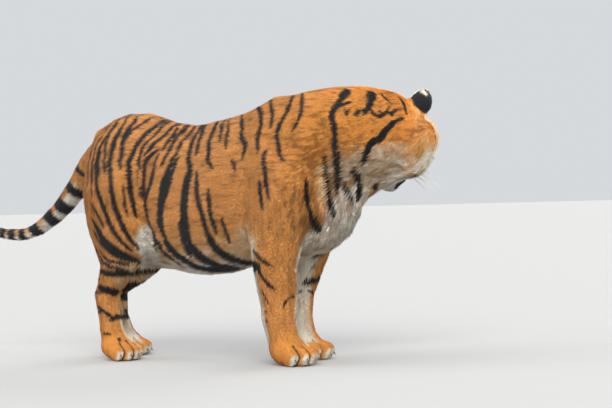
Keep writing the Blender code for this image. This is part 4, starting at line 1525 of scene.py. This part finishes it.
amber = eye_finish()
for s, node in zip(SIDES, ("right_eye", "left_eye")):
    eye = make_eye(s, node + "ball")
    eye.data.materials.append(amber)
    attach(eye, "root")
    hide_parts(node)


# ---- nose, claws and whiskers --------------------------------------------------------------------------
def place_piece(bm, name, material):
    piece = in_scene(name, mesh_of(bm, name))
    piece.data.shade_smooth()
    piece.data.materials.append(material)
    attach(piece, "root")
    return piece


def plain_finish(name, colour, roughness, grain, depth):
    """One colour with darker and lighter grain in it, and a fine relief."""
    material, nodes, links, shader = finish(name, roughness)
    mix = nodes.new("ShaderNodeMix")
    mix.data_type = "RGBA"
    mix.inputs["A"].default_value = (*painted(colour) * 0.55, 1)
    mix.inputs["B"].default_value = (*np.minimum(painted(colour) * 1.35, 1), 1)
    links.new(noise(nodes, links, grain), mix.inputs["Factor"])
    links.new(mix.outputs["Result"], shader.inputs["Base Color"])
    bumped(nodes, links, shader, grain * 4, depth)
    return material


def make_nose():
    """The nose leather, a shell over the skin's own bare faces there."""
    bm = bmesh.new()
    bm.from_mesh(skin.data)
    bare = nose_share(np.array([f.calc_center_median() for f in bm.faces])) > 0.5
    bmesh.ops.delete(bm, geom=[f for f, yes in zip(bm.faces, bare) if not yes], context="FACES")
    bm.normal_update()
    for v in bm.verts:
        v.co += v.normal * 0.0006
    bmesh.ops.solidify(bm, geom=bm.faces[:], thickness=0.002)
    bmesh.ops.recalc_face_normals(bm, faces=bm.faces)
    piece = place_piece(bm, "nose_leather", hair_finish("nose leather", 700.0, 0.0006))
    points = coordinates(piece.data)
    h = in_head(points)
    hole = np.minimum(*[path_distance(points, face_line(NOSTRIL, s)) for s in SIDES])
    edge = ramp(np.abs(h[:, 1]) + 0.4 * np.abs(h[:, 2] + 0.012), 0.019, 0.025)
    cleft = ramp(np.abs(h[:, 1]), 0.0016, 0.0004)
    # painted shade in the nostrils and down the middle cleft; the leather is also darker toward its rim
    shade = np.maximum(ramp(hole, 0.0075, 0.0045), 0.55 * np.maximum(edge, cleft))
    pink, deep = painted((166, 110, 97)), painted((38, 28, 27))
    piece.data.color_attributes.remove(piece.data.color_attributes["coat"])
    tint(piece.data, pink + (deep - pink) * shade[:, None])


def bent_cone(bm, place, root, tip, length, bend, sides, cuts):
    """A thin cone from its root up Z, bent toward X, then put in its place."""
    before = len(bm.verts)
    stand = Matrix.Translation((0, 0, length / 2))
    made = bmesh.ops.create_cone(
        bm, cap_ends=True, segments=sides, radius1=root, radius2=tip, depth=length, matrix=stand
    )
    touching = {e for v in made["verts"] for e in v.link_edges}
    edges = {e for e in touching if abs(e.verts[0].co.z - e.verts[1].co.z) > length / 2}
    bmesh.ops.subdivide_edges(bm, edges=list(edges), cuts=cuts)
    bm.verts.ensure_lookup_table()
    verts = bm.verts[before:]
    for v in verts:
        v.co.x += bend * (v.co.z / length) ** 2
    bmesh.ops.transform(bm, matrix=place, verts=verts)


def make_claws():
    horn = plain_finish("claw horn", (74, 64, 56), 0.35, 160.0, 0.0003)
    for foot, name in zip(FEET, ("right_fore", "left_fore", "right_hind", "left_hind")):
        bm = bmesh.new()
        for lead, side, turn in TOES:
            at = Matrix.Translation((lead + 0.025, side * 1.06, 0.030))
            at = at @ Matrix.Rotation(math.radians(turn), 4, "Z")
            lean = Matrix.Rotation(math.radians(122), 4, "Y")
            bent_cone(bm, foot_frame(*foot) @ at @ lean, 0.0048, 0.0007, 0.021, 0.006, 10, 5)
        bmesh.ops.recalc_face_normals(bm, faces=bm.faces)
        place_piece(bm, name + "_claws", horn)


def make_whiskers():
    white = plain_finish("whisker", (226, 222, 212), 0.4, 60.0, 0.0001)
    rng = np.random.default_rng(SEED + 1)
    for s, name in zip(SIDES, ("right_whiskers", "left_whiskers")):
        bm = bmesh.new()
        for row in range(4):
            for i in range(3 + (row in (1, 2))):
                start = np.array((0.196 - 0.013 * i, s * 0.14, -0.046 - 0.009 * row - 0.003 * i))
                origin, way = from_head(start)[0], HEAD[:3, :3] @ np.array((0, -s, 0))
                hit = SURFACE["tree"].ray_cast(Vector(origin), Vector(way))[0]
                out = Vector(HEAD[:3, :3] @ unit(np.array((-0.25 - 0.10 * i, s, -0.36 - 0.14 * row))))
                back = Vector(HEAD[:3, :3] @ np.array((-0.8, 0, -0.6)))
                back = (back - out * back.dot(out)).normalized()
                place = Matrix((back, out.cross(back), out)).transposed().to_4x4()
                long = 0.115 + 0.045 * rng.random() + 0.008 * i
                place = Matrix.Translation(hit - out * 0.003) @ place
                bent_cone(bm, place, 0.0009, 0.0002, long, 0.25 * long, 5, 8)
        bmesh.ops.recalc_face_normals(bm, faces=bm.faces)
        place_piece(bm, name, white)


make_nose()
make_claws()
make_whiskers()


# ---- floor, light and camera ---------------------------------------------------------------------------
def make_floor():
    bm = bmesh.new()
    bmesh.ops.create_grid(bm, x_segments=1, y_segments=1, size=30)
    floor = in_scene("floor", mesh_of(bm, "floor"))
    material, _, _, shader = finish("pale floor", 0.9)
    shader.inputs["Base Color"].default_value = (0.34, 0.34, 0.335, 1)
    floor.data.materials.append(material)


def sun(name, way, spread, strength, colour=(1, 1, 1)):
    """Soft even light that comes from the given way, in degrees of spread."""
    data = bpy.data.lights.new(name, "SUN")
    data.angle = math.radians(spread)
    data.energy = strength
    data.color = colour
    light = in_scene(name, data)
    light.location = way
    light.rotation_mode = "QUATERNION"
    light.rotation_quaternion = Vector(way).to_track_quat("Z", "Y")


def make_lights():
    world = bpy.data.worlds.new("room")
    world.use_nodes = True
    room = world.node_tree.nodes["Background"]
    room.inputs["Color"].default_value = (0.84, 0.87, 0.90, 1)
    room.inputs["Strength"].default_value = 0.80
    bpy.context.scene.world = world
    sun("key", (3.0, -4.2, 3.3), 35, 4.2, (1.0, 0.98, 0.94))
    sun("top", (-0.4, -0.2, 4.0), 60, 1.5)
    sun("left", (-4.0, -2.5, 1.8), 50, 1.3)
    sun("far side", (0.9, 5.0, 2.0), 50, 1.7)


CAMERA_AWAY, CAMERA_HEIGHT = 7.0, 0.62
AIM_AHEAD, AIM_HEIGHT = 0.31, 0.533  # the point it looks at
VIEW_WIDTH = 2.1324  # metres across the view at that point
FILM_WIDTH = 36  # millimetres
CAMERA_ROLL = math.radians(-2)


def make_camera():
    data = bpy.data.cameras.new("camera")
    data.sensor_width = FILM_WIDTH
    data.lens = FILM_WIDTH * CAMERA_AWAY / VIEW_WIDTH
    camera = in_scene("camera", data)
    c, n = math.cos(QUARTER), math.sin(QUARTER)
    aim = Vector(ORIGIN) + Vector((c * AIM_AHEAD, n * AIM_AHEAD, AIM_HEIGHT))
    place = aim + Vector((n * CAMERA_AWAY, -c * CAMERA_AWAY, CAMERA_HEIGHT - AIM_HEIGHT))
    camera.location = place
    camera.rotation_mode = "QUATERNION"
    roll = Quaternion((0, 0, 1), CAMERA_ROLL)
    camera.rotation_quaternion = (aim - place).to_track_quat("-Z", "Y") @ roll
    bpy.context.scene.camera = camera


bpy.context.scene.view_settings.view_transform = "Standard"
make_floor()
make_lights()
make_camera()
